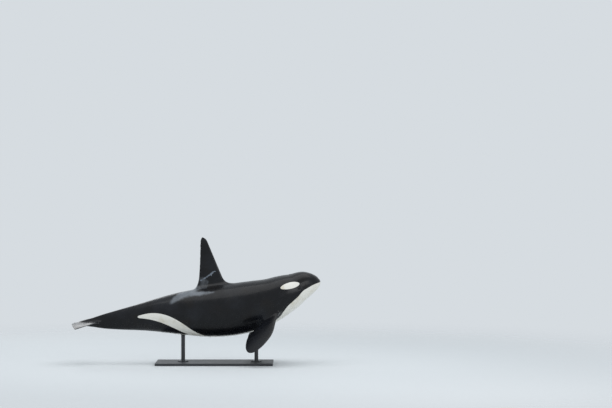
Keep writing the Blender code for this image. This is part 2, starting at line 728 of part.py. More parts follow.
def material(name):
    """A Principled material from its colour, roughness and metallic value."""
    colour, roughness, metallic = MATERIALS[name]
    made = bpy.data.materials.new(name)
    made.use_nodes = True
    shader = made.node_tree.nodes["Principled BSDF"]
    shader.inputs["Base Color"].default_value = (*colour, 1.0)
    shader.inputs["Roughness"].default_value = roughness
    shader.inputs["Metallic"].default_value = metallic
    return made


def dress(objects, material_name, smooth_below):
    """Gives the objects a material, and shades them smooth below an angle in degrees."""
    coat = material(material_name)
    for obj in objects:
        obj.data.materials.clear()
        obj.data.materials.append(coat)
        obj.data.shade_smooth()
        obj.data.set_sharp_from_angle(angle=math.radians(smooth_below))


def main():
    """Builds the orca and its stand."""
    for obj in list(bpy.data.objects):
        bpy.data.objects.remove(obj)
    orca = bpy.data.collections.new("orca")
    tools = bpy.data.collections.new("cutters")
    for collection in (orca, tools):
        bpy.context.scene.collection.children.link(collection)

    rod_pieces, sockets = rods(orca, tools)
    base = stand_base(orca)
    right = eye_centre()
    centres = {"eye_right": right, "eye_left": Vector((right.x, -right.y, right.z))}
    eyes = [ball(name, centre, EYE_RADIUS, orca) for name, centre in centres.items()]
    hollows = [ball("cut_eye", centre, EYE_RADIUS + CLEARANCE, tools) for centre in centres.values()]

    body = whole_animal(tools)
    planes = cut_planes()
    flesh = {name: piece(name, body, cuts, planes, orca) for name, cuts in PIECES.items()}
    bpy.data.objects.remove(body)
    cut_away(flesh["chest"], sockets[:1])
    cut_away(flesh["trunk"], sockets[1:])
    head = flesh.pop("head")
    cut_away(head, [mouth_ribbon(tools), *hollows])
    free_jaw(baked(head, "head_cut", tools), orca)

    dress([*flesh.values(), bpy.data.objects["head"]], "black_skin", 40.0)
    dress([bpy.data.objects["lower_jaw"]], "white_skin", 40.0)
    dress(eyes, "eye", 60.0)
    dress([base, *rod_pieces], "stand_steel", 30.0)


if __name__ == "__main__":
    main()
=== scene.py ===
"""The looks of a life-size orca model on its display stand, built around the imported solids.

Metres, +Z up, nose towards +X, as in the frame. One skin replaces the nodes of flesh. It is lofted from the
same sections as the solids, only finer, and then given its lips, eyelids, blowhole, folds and markings.
"""

import logging
import math
from dataclasses import dataclass, field
from enum import Enum, IntEnum
from typing import Callable, Iterable, Sequence

import bmesh
import bpy
import numpy as np
from mathutils import Matrix, Vector, noise


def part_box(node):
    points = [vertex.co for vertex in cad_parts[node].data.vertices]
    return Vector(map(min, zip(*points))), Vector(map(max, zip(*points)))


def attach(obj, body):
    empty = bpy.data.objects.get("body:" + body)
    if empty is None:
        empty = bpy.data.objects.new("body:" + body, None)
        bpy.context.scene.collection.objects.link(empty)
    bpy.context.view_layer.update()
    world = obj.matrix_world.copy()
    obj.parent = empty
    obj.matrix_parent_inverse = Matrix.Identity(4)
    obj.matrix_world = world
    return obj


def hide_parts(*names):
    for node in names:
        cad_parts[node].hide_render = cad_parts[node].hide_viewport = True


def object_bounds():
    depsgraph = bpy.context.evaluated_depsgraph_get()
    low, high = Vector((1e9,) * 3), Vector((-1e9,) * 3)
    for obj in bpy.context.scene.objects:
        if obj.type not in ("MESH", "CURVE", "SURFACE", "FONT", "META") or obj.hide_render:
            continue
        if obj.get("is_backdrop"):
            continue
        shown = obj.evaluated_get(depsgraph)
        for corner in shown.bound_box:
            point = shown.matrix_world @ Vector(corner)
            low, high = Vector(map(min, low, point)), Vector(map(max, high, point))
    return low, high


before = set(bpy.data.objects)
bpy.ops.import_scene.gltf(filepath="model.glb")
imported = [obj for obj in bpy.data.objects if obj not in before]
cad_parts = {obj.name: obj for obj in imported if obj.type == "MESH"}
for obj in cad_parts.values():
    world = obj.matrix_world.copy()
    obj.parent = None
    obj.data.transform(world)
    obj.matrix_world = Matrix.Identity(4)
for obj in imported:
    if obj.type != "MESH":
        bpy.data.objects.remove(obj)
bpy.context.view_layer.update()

log = logging.getLogger("orca")

Array = np.ndarray
Knots = Sequence[tuple[float, float]]
Curve = Callable[[Array], Array]


class Column(IntEnum):
    """The columns of a landmark."""

    PLACE = 0
    BACK = 1
    BELLY = 2
    HALF_WIDTH = 3
    FULLNESS = 4


# Landmarks of the straight body as shares of its length: distance behind the snout, back line, belly line,
# half width, and fullness of the section, which is 2 for an ellipse and less for a keeled one
LANDMARKS: dict[str, tuple[float, ...]] = {
    "snout": (0.000, -0.003, -0.003, 0.000, 2.10),
    "lips": (0.010, 0.0215, -0.0205, 0.024, 2.20),
    "beak": (0.030, 0.0400, -0.0345, 0.040, 2.20),
    "forehead": (0.060, 0.0555, -0.0500, 0.054, 2.15),
    "eyes": (0.088, 0.0585, -0.0625, 0.066, 2.10),
    "blowhole": (0.106, 0.0585, -0.071, 0.073, 2.10),
    "nape": (0.136, 0.0655, -0.081, 0.082, 2.10),
    "neck": (0.165, 0.0710, -0.0886, 0.0869, 2.10),
    "shoulders": (0.195, 0.0750, -0.095, 0.090, 2.10),
    "chest": (0.260, 0.088, -0.105, 0.0945, 2.05),
    "deepest": (0.345, 0.0980, -0.1095, 0.0955, 2.00),
    "navel": (0.460, 0.0980, -0.1035, 0.089, 2.00),
    "vent": (0.600, 0.0815, -0.080, 0.070, 1.95),
    "stock": (0.740, 0.056, -0.051, 0.042, 1.80),
    "keel": (0.850, 0.038, -0.033, 0.021, 1.75),
    "fluke_root": (0.910, 0.026, -0.023, 0.014, 1.90),
    "fluke_middle": (0.960, 0.013, -0.012, 0.014, 2.00),
    "fluke_notch": (1.000, 0.0035, -0.0035, 0.014, 2.00),
}


def smooth_curve(knots: Knots) -> Curve:
    """Makes a smooth function through knots: cubic, with slopes from the neighbours.

    Args:
        knots: (place, value) pairs in order of place.

    Returns:
        The function, which takes and gives arrays and is level beyond the last knots.
    """
    places, values = np.array(knots, float).T
    steps = np.diff(places)
    rises = np.diff(values) / steps
    inner = (rises[:-1] * steps[1:] + rises[1:] * steps[:-1]) / (steps[:-1] + steps[1:])
    slopes = np.concatenate((rises[:1], inner, rises[-1:]))

    def at(place: Array) -> Array:
        """The curve's value at each place."""
        i = np.clip(np.searchsorted(places, place, side="right") - 1, 0, len(steps) - 1)
        h = steps[i]
        t = np.clip((place - places[i]) / h, 0, 1)
        a, b = t * t * (3 - 2 * t), t * (1 - t) * h
        return values[i] * (1 - a) + values[i + 1] * a + b * ((1 - t) * slopes[i] - t * slopes[i + 1])

    return at


def smooth_step(value: Array) -> Array:
    """Rises from 0 to 1 with level ends."""
    value = np.clip(value, 0, 1)
    return value * value * (3 - 2 * value)


def bell(distance: Array, width: float) -> Array:
    """A rounded ridge, 1 at no distance and a third at the width."""
    return np.exp(-((distance / width) ** 2))


def signed_power(value: Array, power: Array | float) -> Array:
    """A power that keeps the value's sign."""
    return np.sign(value) * np.abs(value) ** power


def aerofoil(place: Array, thickness: Array | float, edge: float) -> Array:
    """Half thickness of a fin's section.

    Args:
        place: place along the chord, 0 at the front edge and 1 at the rear.
        thickness: full thickness of the section.
        edge: thickness left at the rear edge.

    Returns:
        The half thickness at each place.
    """
    body = 1.45 * np.sqrt(place) - 0.63 * place - 1.76 * place**2 + 1.42 * place**3 - 0.48 * place**4
    return thickness / 2 * np.maximum(0, body) + edge / 2 * place * np.sqrt(1 - place)


def tip_round(share: float, start: float, blunt: float = 0.28) -> float:
    """Rounds a fin off towards its tip.

    Args:
        share: share of the fin's height.
        start: where the rounding starts.
        blunt: what is left at the very tip.

    Returns:
        The factor on the fin's chord or thickness.
    """
    if share < start:
        return 1.0
    return math.sqrt(1 - (1 - blunt**2) * ((share - start) / (1 - start)) ** 2)


@dataclass
class Flukes:
    """Sizes of the flukes, which are one with the tail: its rings widen and sweep back into them."""

    root: float = 0.895
    half_span: float = 0.93
    sweep: float = 0.60
    fullness: float = 1.7
    corner_length: float = 0.11
    corner_width: float = 0.06
    lobe: float = 0.080
    lobe_power: float = 0.55
    thickness: float = 0.090
    taper: float = 0.75
    edge: float = 0.006
    curl: float = 0.10
    ridge: float = 0.075
    merge: float = 0.30
    fade: float = 0.14


@dataclass
class Body:
    """The animal's form: sections along a straight spine, and the pitched spine that poses it."""

    length: float = 6.40
    axis_height: float = 1.377
    station: float = 0.43
    station_x: float = 0.07
    pitches: Knots = (
        (0.00, 14.0),
        (0.10, 18.0),
        (0.18, 22.0),
        (0.28, 16.5),
        (0.38, 9.0),
        (0.50, 5.0),
        (0.78, 7.0),
        (1.00, 1.0),
    )
    spine_steps: int = 400
    flukes: Flukes = field(default_factory=Flukes)

    def __post_init__(self) -> None:
        """Works out the profiles and the posed spine."""
        # The profiles are read against the square root of the place, which rounds the snout.
        rows = LANDMARKS.values()
        self.curves = {c: smooth_curve([(math.sqrt(row[0]), row[c]) for row in rows]) for c in Column if c}
        self.pitch = smooth_curve(self.pitches)
        middles = (np.arange(self.spine_steps) + 0.5) / self.spine_steps
        pitch = np.radians(self.pitch(middles))
        steps = np.stack((np.cos(pitch), np.sin(pitch)), 1) * self.length / self.spine_steps
        points = np.concatenate((np.zeros((1, 2)), -np.cumsum(steps, 0)))
        at_station = points[round(self.station * self.spine_steps)]
        self.spine = points + (self.station_x, self.axis_height) - at_station

    def profile(self, column: Column, share: Array | float) -> Array:
        """A profile at shares of the length, in metres, or the section's fullness."""
        value = self.curves[column](np.sqrt(np.maximum(0, share)))
        return value if column is Column.FULLNESS else value * self.length

    def pose(self, share: Array, local: Array) -> Array:
        """Carries points from the straight body to the pose.

        Args:
            share: share of the length whose frame carries each point.
            local: points from the spine there, X forward and Z up.

        Returns:
            The posed points.
        """
        share = np.clip(share, 0, 1)
        pitch = np.radians(self.pitch(share))
        knots = np.linspace(0, 1, len(self.spine))
        x, z = (np.interp(share, knots, column) for column in self.spine.T)
        sin, cos = np.sin(pitch), np.cos(pitch)
        x = x + local[..., 0] * cos - local[..., 2] * sin
        z = z + local[..., 0] * sin + local[..., 2] * cos
        return np.stack((x, local[..., 1], z), -1)

    def frame(self, share: float) -> Matrix:
        """The matrix that carries the straight body's frame at a share to the pose."""
        turn = Matrix.Rotation(-math.radians(float(self.pitch(np.float64(share)))), 4, "Y")
        return Matrix.Translation(self.pose(np.float64(share), np.zeros(3))) @ turn

    def section(self, share: Array, angle: Array) -> Array:
        """Points of the straight body's sections, from the spine.

        Args:
            share: share of the length.
            angle: angle round the section from the middle of the back.

        Returns:
            The points on the right side, where Y is negative.
        """
        back, belly = self.profile(Column.BACK, share), self.profile(Column.BELLY, share)
        power = 2 / self.profile(Column.FULLNESS, share)
        y = -self.profile(Column.HALF_WIDTH, share) * signed_power(np.sin(angle), power)
        z = (back + belly) / 2 + (back - belly) / 2 * signed_power(np.cos(angle), power)
        return np.stack((np.zeros_like(y), y, z), -1)

    def half_girth(self, share: Array) -> Array:
        """Length of skin from the middle of the belly to that of the back, by Ramanujan's ellipse."""
        a = self.profile(Column.HALF_WIDTH, share)
        b = (self.profile(Column.BACK, share) - self.profile(Column.BELLY, share)) / 2
        return np.pi / 2 * (3 * (a + b) - np.sqrt((3 * a + b) * (a + 3 * b)))

    def skin(self, share: Array, angle: Array) -> Array:
        """Points of the posed skin of the right side, flukes included."""
        body = self.pose(share, self.section(share, angle))
        tail = self.fluke_skin(np.maximum(share, self.flukes.root), angle)
        return np.where((share > self.flukes.root + 1e-6)[..., None], tail, body)

    def fluke_front(self, y: Array | float) -> Array:
        """How far behind the flukes' root their front edge is, at a distance from the middle."""
        sizes = self.flukes
        out = np.maximum(0, y - self.profile(Column.HALF_WIDTH, sizes.root))
        corner = sizes.corner_length * (1 - np.exp(-out / sizes.corner_width))
        return corner + sizes.sweep * (out / sizes.half_span) ** sizes.fullness

    def fluke_rear(self, y: Array) -> Array:
        """How far behind the flukes' root their rear edge is, at a distance from the middle."""
        sizes = self.flukes
        notch, tip = (1 - sizes.root) * self.length, self.fluke_front(sizes.half_span)
        share = y / sizes.half_span
        lobe = sizes.lobe * np.sin(np.pi * share**sizes.lobe_power)
        return notch + (tip - notch) * share**2 + lobe

    def fluke_plan(self, share: Array, angle: Array) -> tuple[Array, Array, Array, Array]:
        """Where points of the flukes are, seen from above.

        Args:
            share: share of the length, from the flukes' root to 1.
            angle: angle round the section from the middle of the back.

        Returns:
            The distance from the middle, how far behind the root the front and rear edges are there, and the
            place along the chord between them.
        """
        sizes = self.flukes
        fan = (share - sizes.root) / (1 - sizes.root)
        run = np.minimum(1, np.abs(np.sin(angle)) ** (2 / self.profile(Column.FULLNESS, share)))
        y = run * (self.profile(Column.HALF_WIDTH, sizes.root) * (1 - fan) + sizes.half_span * fan)
        chord = np.where(fan > 1 - 1e-9, 1.0, fan * (1 - run**2) / np.maximum(1e-9, 1 - fan * run**2))
        return y, self.fluke_front(y), self.fluke_rear(y), chord

    def fluke_skin(self, share: Array, angle: Array) -> Array:
        """Points of the posed flukes: two flat blades, with the tail's ridge running out between them."""
        sizes = self.flukes
        y, front, rear, chord = self.fluke_plan(share, angle)
        behind = front + (rear - front) * chord
        place = np.minimum(1, sizes.root + behind / self.length)
        back, belly = self.profile(Column.BACK, place), self.profile(Column.BELLY, place)
        fullness = float(self.profile(Column.FULLNESS, sizes.root))
        across = np.minimum(1, y / self.profile(Column.HALF_WIDTH, sizes.root))
        stock = (1 - across**fullness) ** (1 / fullness)
        low_ridge = bell(y, sizes.ridge) * np.sqrt(np.clip((behind - front) / sizes.ridge, 0, 1))
        merge = smooth_step(behind / sizes.merge)
        ridge = (back - belly) / 2 * (stock * (1 - merge) + low_ridge * merge)
        ridge *= smooth_step((rear - behind) / sizes.fade)
        blade = aerofoil(chord, sizes.thickness * (1 - sizes.taper * y / sizes.half_span), 0.0)
        high = np.hypot(blade + sizes.edge / 2 * chord, ridge)
        droop = sizes.curl * (y / sizes.half_span) ** 2
        beyond = behind - (place - sizes.root) * self.length
        z = (back + belly) / 2 + np.where(np.cos(angle) < 0, -high, high) - droop
        return self.pose(place, np.stack((-beyond, -y, z), -1))


@dataclass
class DorsalFin:
    """The dorsal fin, in a frame that stands square on the back line at its station."""

    root: tuple[float, float] = (0.340, 0.522)
    height: float = 1.260
    chord: float = 0.728
    rear_x: float = -0.448
    rear_lean: float = 0.24
    lean_power: float = 0.68
    front_slope: float = 0.36
    thickness: float = 0.135
    taper: float = 0.72
    tip: float = 0.915
    tip_middle: float = 0.40
    blunt: float = 0.12
    crown: float = 0.012
    fairing: float = 0.17
    edge: float = 0.012
    steps: int = 44
    fairing_steps: int = 12
    wave: float = 0.004
    wave_length: float = 0.17

    def frame(self, body: Body) -> Matrix:
        """X forward, Z up the fin, on the back line."""
        back = float(body.profile(Column.BACK, body.station))
        return body.frame(body.station) @ Matrix.Translation((0.0, 0.0, back))

    def stations(self) -> Array:
        """Shares of the height at which the fin has rings, closest at its tip."""
        run = np.linspace(0, 1, self.steps)
        return self.fairing + (1 - self.fairing) * (1 - (1 - run) ** 1.6)

    def section(self, share: float, place: Array) -> Array:
        """Points of the fin's right half.

        Args:
            share: share of the height.
            place: places along the chord, 0 at the front edge.

        Returns:
            The points in the fin's frame.
        """
        front = self.rear_x + self.chord - self.front_slope * share
        rear = self.rear_x + self.rear_lean * share**self.lean_power
        turn = share * self.height / self.wave_length * math.tau
        rear -= self.wave * (0.7 * math.sin(turn) + 0.5 * math.sin(turn * 1.62 + 1.0)) * share
        round_off = tip_round(share, self.tip, self.blunt)
        middle = rear + (front - rear) * self.tip_middle
        x = middle + (front + (rear - front) * place - middle) * round_off
        y = -aerofoil(place, self.thickness * (1 - self.taper * share) * round_off, self.edge)
        crown = self.crown * smooth_step(np.float64((share - 0.97) / 0.03)) * np.sin(np.pi * place)
        return np.stack((x, y, self.height * share + crown), -1)


@dataclass
class Flipper:
    """The right flipper, in a frame with X forward along its chord, Y out of its upper face and Z out."""

    root: tuple[float, float] = (0.183, 0.265)
    root_angles: tuple[float, float] = (0.65, 0.75)
    span: float = 1.28
    chord: float = 0.74
    neck: float = 0.45
    wide: float = 0.62
    tip: float = 0.40
    blunt: float = 0.12
    axis: float = 0.47
    rake: float = 0.05
    thickness: float = 0.115
    taper: float = 0.70
    thin: float = 0.62
    edge: float = 0.012
    sweep: float = 38.0
    droop: float = 42.0
    twist: float = 12.0
    fairing: float = 0.16
    skew: float = 0.62
    steps: int = 44
    fairing_steps: int = 12

    def middle(self) -> tuple[float, float]:
        """The share of the length and the angle at the middle of the root."""
        return sum(self.root) / 2, math.pi * sum(self.root_angles) / 2

    def frame(self, body: Body) -> Matrix:
        """The flipper's frame in the pose."""
        sweep, droop = math.radians(self.sweep), math.radians(self.droop)
        level, down = math.cos(sweep) * math.cos(droop), math.cos(sweep) * math.sin(droop)
        out = Vector((-math.sin(sweep), -level, -down))
        forward = Vector((1.0, 0.0, 0.0))
        chord = (forward - out * forward.dot(out)).normalized()
        axes = Matrix((chord, out.cross(chord), out)).transposed().to_4x4()
        share, angle = self.middle()
        root = Vector(body.section(np.float64(share), np.float64(angle)))
        twist = Matrix.Rotation(math.radians(self.twist), 4, "Z")
        return body.frame(share) @ Matrix.Translation(root) @ axes @ twist

    def stations(self) -> Array:
        """Shares of the span at which the flipper has rings, closest at its tip."""
        run = np.linspace(0, 1, self.steps)
        return self.fairing + (1 - self.fairing) * (1 - (1 - run) ** 1.6)

    def section(self, share: float, place: Array, side: Array) -> Array:
        """Points of a section.

        Args:
            share: share of the span.
            place: places along the chord, 0 at the front edge.
            side: 1 on the upper face and -1 on the lower.

        Returns:
            The points in the flipper's frame.
        """
        widen = self.neck + (1 - self.neck) * float(smooth_step(np.float64(share / self.wide)))
        chord = self.chord * widen * tip_round(share, self.tip, self.blunt)
        x = chord * (self.axis - place) - self.rake * share
        thickness = self.thickness * (1 - self.taper * share) * tip_round(share, self.thin)
        z = self.span * share - self.skew * x * (1 - share) ** 2
        return np.stack((x, side * aerofoil(place, thickness, self.edge), z), -1)


def read_vectors(elements: bpy.types.bpy_prop_collection, name: str) -> Array:
    """Three numbers of each element of a mesh, as rows."""
    values = np.zeros(len(elements) * 3, np.float32)
    elements.foreach_get(name, values)
    return values.reshape(-1, 3).astype(float)


def read_floats(mesh: bpy.types.Mesh, name: str) -> Array:
    """A float attribute of each vertex."""
    values = np.zeros(len(mesh.vertices), np.float32)
    mesh.attributes[name].data.foreach_get("value", values)
    return values.astype(float)


def write_floats(mesh: bpy.types.Mesh, name: str, values: Array) -> None:
    """Keeps a number for each vertex as an attribute that a material can read."""
    attribute = mesh.attributes.get(name) or mesh.attributes.new(name, "FLOAT", "POINT")
    attribute.data.foreach_set("value", values.astype(np.float32))


def select(*pieces: bpy.types.Object) -> None:
    """Selects only these pieces, and makes the first active."""
    bpy.ops.object.select_all(action="DESELECT")
    for piece in pieces:
        piece.select_set(True)
    bpy.context.view_layer.objects.active = pieces[0]


FAR = 1000.0  # a spacing that asks for nothing


def fine_near(distance: Array, finest: float, flat: float, reach: float, growth: float = 0.2) -> Array:
    """How fine the mesh has to be around a shape.

    Args:
        distance: how far each vertex is from the shape.
        finest: the spacing on the shape.
        flat: how far out that spacing holds.
        reach: where the shape asks for nothing any more.
        growth: how fast the spacing grows beyond.

    Returns:
        The wanted spacing at each vertex, in metres.
    """
    return np.where(distance < reach, finest + growth * np.maximum(0, distance - flat), FAR)


@dataclass
class Place:
    """Where vertices of the right half of the skin are: their share and angle, and the straight body's point."""

    share: Array
    angle: Array
    behind: Array
    side: Array
    high: Array
    posed: Array


class Feature:
    """Something shaped into the skin."""

    def spacing(self, place: Place) -> Array:
        """How fine the mesh has to be at each vertex."""
        raise NotImplementedError

    def rise(self, place: Place) -> Array:
        """How far each vertex moves out of the skin."""
        raise NotImplementedError


@dataclass
class Mouth(Feature):
    """The shut mouth: a groove between two rounded lips, over a lower jaw that is set back a little."""

    body: Body
    line: Knots = ((0.0, -0.003), (0.025, -0.0045), (0.050, -0.0095), (0.070, -0.0135), (0.080, -0.0125))
    groove: float = 0.0075
    groove_width: float = 0.0048
    lip_offset: float = 0.013
    lip_width: float = 0.008
    upper_lip: float = 0.0022
    lower_lip: float = 0.0016
    jaw_inset: float = 0.004
    jaw_reach: float = 0.05
    fade: float = 0.0035
    fold_radius: float = 0.020
    fold_depth: float = 0.0042
    fold_width: float = 0.0055
    beak_height: float = 0.095
    beak_place: float = 0.014
    beak_reach: float = 0.022
    beak_crease: float = 0.007
    beak_width: float = 0.035

    def __post_init__(self) -> None:
        """Makes the mouth's line a curve."""
        self.level = smooth_curve(self.line)
        self.corner = self.line[-1][0]

    def above(self, place: Place) -> Array:
        """How far each vertex is above the mouth's line."""
        return place.high - self.level(place.share) * self.body.length

    def behind_corner(self, place: Place) -> Array:
        """How far each vertex is behind the corner of the mouth."""
        return place.behind - self.corner * self.body.length

    def spacing(self, place: Place) -> Array:
        """Finest along the groove and the fold behind its corner."""
        above, behind = self.above(place), self.behind_corner(place)
        line = np.where(behind < 0, np.abs(above), np.hypot(above, behind))
        fold = np.where(behind > -0.02, np.abs(np.hypot(above, behind) - self.fold_radius), FAR)
        near_line = fine_near(line, 0.0022, 0.007, 0.05, 0.25)
        return np.minimum(near_line, fine_near(fold, 0.003, 0.006, 0.03))

    def rise(self, place: Place) -> Array:
        """The groove, lips and folds."""
        above, behind = self.above(place), self.behind_corner(place)
        fade = smooth_step(-behind / self.body.length / self.fade)
        groove = -self.groove * bell(above, self.groove_width)
        lips = self.upper_lip * bell(above - self.lip_offset, self.lip_width)
        lips += self.lower_lip * bell(above + self.lip_offset, self.lip_width)
        jaw = -self.jaw_inset * smooth_step(-above / 0.006) * smooth_step(1 + above / self.jaw_reach)
        fold = bell(np.hypot(above, behind) - self.fold_radius, self.fold_width) * smooth_step(behind / 0.02)
        beak = bell(above - self.beak_height, self.beak_width) * bell(place.share - self.beak_place, self.beak_reach)
        return (groove + lips + jaw) * fade - self.fold_depth * fold - self.beak_crease * beak

    def inner(self, place: Place) -> Array:
        """Where the inside of the lips is painted dark, from 0 to 1: wet skin, darkened as painted shade in the
        groove.
        """
        fade = smooth_step(-self.behind_corner(place) / self.body.length / self.fade)
        return bell(self.above(place), self.groove_width * 0.8) * fade


@dataclass
class Blowhole(Feature):
    """The blowhole on top of the head: a shut crescent with its horns forward, and raised lips."""

    body: Body
    share: float = 0.106
    half_width: float = 0.062
    horns: float = 0.030
    opening: float = 0.0055
    depth: float = 0.015
    lip_offset: float = 0.016
    lip_width: float = 0.009
    lip_rise: float = 0.0035
    mound: float = 0.006
    mound_reach: float = 0.12

    def across(self, place: Place) -> Array:
        """How far each vertex is ahead of the crescent's line."""
        ahead = self.share * self.body.length - place.behind
        return ahead - self.horns * (place.side / self.half_width) ** 2 + self.horns / 3

    def on_top(self, place: Place) -> Array:
        """1 on the top of the head."""
        return smooth_step((place.high - 0.2) / 0.05)

    def spacing(self, place: Place) -> Array:
        """Finest along the crescent."""
        beyond = np.maximum(0, place.side - self.half_width)
        distance = np.hypot(self.across(place), beyond) + (1 - self.on_top(place))
        return fine_near(distance, 0.0018, 0.010, 0.07, 0.16)

    def rise(self, place: Place) -> Array:
        """The crescent, its lips and the low mound round it."""
        across = self.across(place)
        wide = np.sqrt(np.maximum(0, 1 - (place.side / self.half_width) ** 2))
        half = self.opening * (0.3 + 0.7 * wide)
        slit = -self.depth * wide**0.8 * np.exp(-((np.abs(across) / half) ** 2.2))
        ends = smooth_step((self.half_width + 0.014 - place.side) / 0.03)
        lips = bell(across - self.lip_offset, self.lip_width) + bell(across + self.lip_offset, self.lip_width)
        ahead = self.share * self.body.length - place.behind
        mound = self.mound * bell(np.hypot(ahead, place.side), self.mound_reach)
        return (slit + self.lip_rise * lips * ends + mound) * self.on_top(place)

    def inner(self, place: Place) -> Array:
        """Where the slit is painted dark, from 0 to 1: wet skin, darkened as painted shade down in the slit."""
        wide = np.sqrt(np.maximum(0, 1 - (place.side / self.half_width) ** 2))
        return bell(self.across(place), self.opening * 0.9) * wide**0.5 * self.on_top(place)


@dataclass
class HeadForm(Feature):
    """The soft forms of the head and neck: brow, cheek, the hollow round the eye and the folds of the nape."""

    body: Body
    eye: tuple[float, float] = (0.089, 0.001)
    brow: float = 0.005
    hollow: float = 0.004
    cheek: tuple[float, float] = (0.096, -0.026)
    cheek_rise: float = 0.009
    folds: tuple[tuple[float, float], ...] = ((0.143, 0.0030), (0.157, 0.0045), (0.171, 0.0035))
    fold_width: float = 0.027

    def fold_distance(self, place: Place, share: float) -> Array:
        """How far behind a fold of the nape each vertex is. The folds sweep back down the sides."""
        return place.behind - (share + 0.012 * np.sin(place.angle) ** 2) * self.body.length

    def spacing(self, place: Place) -> Array:
        """These forms are broad, so the plain mesh is fine enough."""
        return np.full_like(place.share, FAR)

    def rise(self, place: Place) -> Array:
        """The forms, added up."""
        length = self.body.length
        behind, up = place.behind - self.eye[0] * length, place.high - self.eye[1] * length
        brow = self.brow * np.exp(-((behind / 0.05) ** 2) - ((up - 0.042) / 0.022) ** 2)
        hollow = -self.hollow * bell(np.hypot(behind, up) - 0.055, 0.028)
        behind, up = place.behind - self.cheek[0] * length, place.high - self.cheek[1] * length
        cheek = self.cheek_rise * np.exp(-((behind / 0.16) ** 2) - (up / 0.11) ** 2)
        rise = brow + hollow + cheek
        for share, depth in self.folds:
            side = smooth_step((1.25 - place.angle) / 0.5)
            rise -= depth * bell(self.fold_distance(place, share), self.fold_width) * side
        return rise


@dataclass
class Belly(Feature):
    """The navel, the long slit behind it, and the vent, on the middle of the belly."""

    body: Body
    navel: float = 0.470
    slit: tuple[float, float] = (0.560, 0.612)
    vent: float = 0.655
    slit_depth: float = 0.010
    slit_width: float = 0.006
    lip_offset: float = 0.016
    lip_rise: float = 0.004

    def runs(self) -> tuple[tuple[float, float, float], ...]:
        """Each groove's ends as shares of the length, and its depth."""
        return (
            (self.navel - 0.004, self.navel + 0.004, 0.006),
            (*self.slit, self.slit_depth),
            (self.vent - 0.003, self.vent + 0.003, 0.007),
        )

    def beyond(self, place: Place, start: float, end: float) -> Array:
        """How far each vertex is beyond either end of a groove."""
        length = self.body.length
        return np.maximum(0, np.maximum(start * length - place.behind, place.behind - end * length))

    def spacing(self, place: Place) -> Array:
        """Finest along the grooves."""
        top = np.where(place.high > 0, FAR, 0)
        near = [np.hypot(place.side, self.beyond(place, start, end)) for start, end, _ in self.runs()]
        return fine_near(np.min(near, 0) + top, 0.0028, 0.010, 0.07)

    def rise(self, place: Place) -> Array:
        """The grooves between their raised edges."""
        rise = np.zeros_like(place.share)
        for start, end, depth in self.runs():
            ends = bell(self.beyond(place, start, end), 0.015)
            groove = -depth * bell(place.side, self.slit_width)
            rise += (groove + self.lip_rise * bell(place.side - self.lip_offset, 0.010)) * ends
        return rise * (place.high < 0)


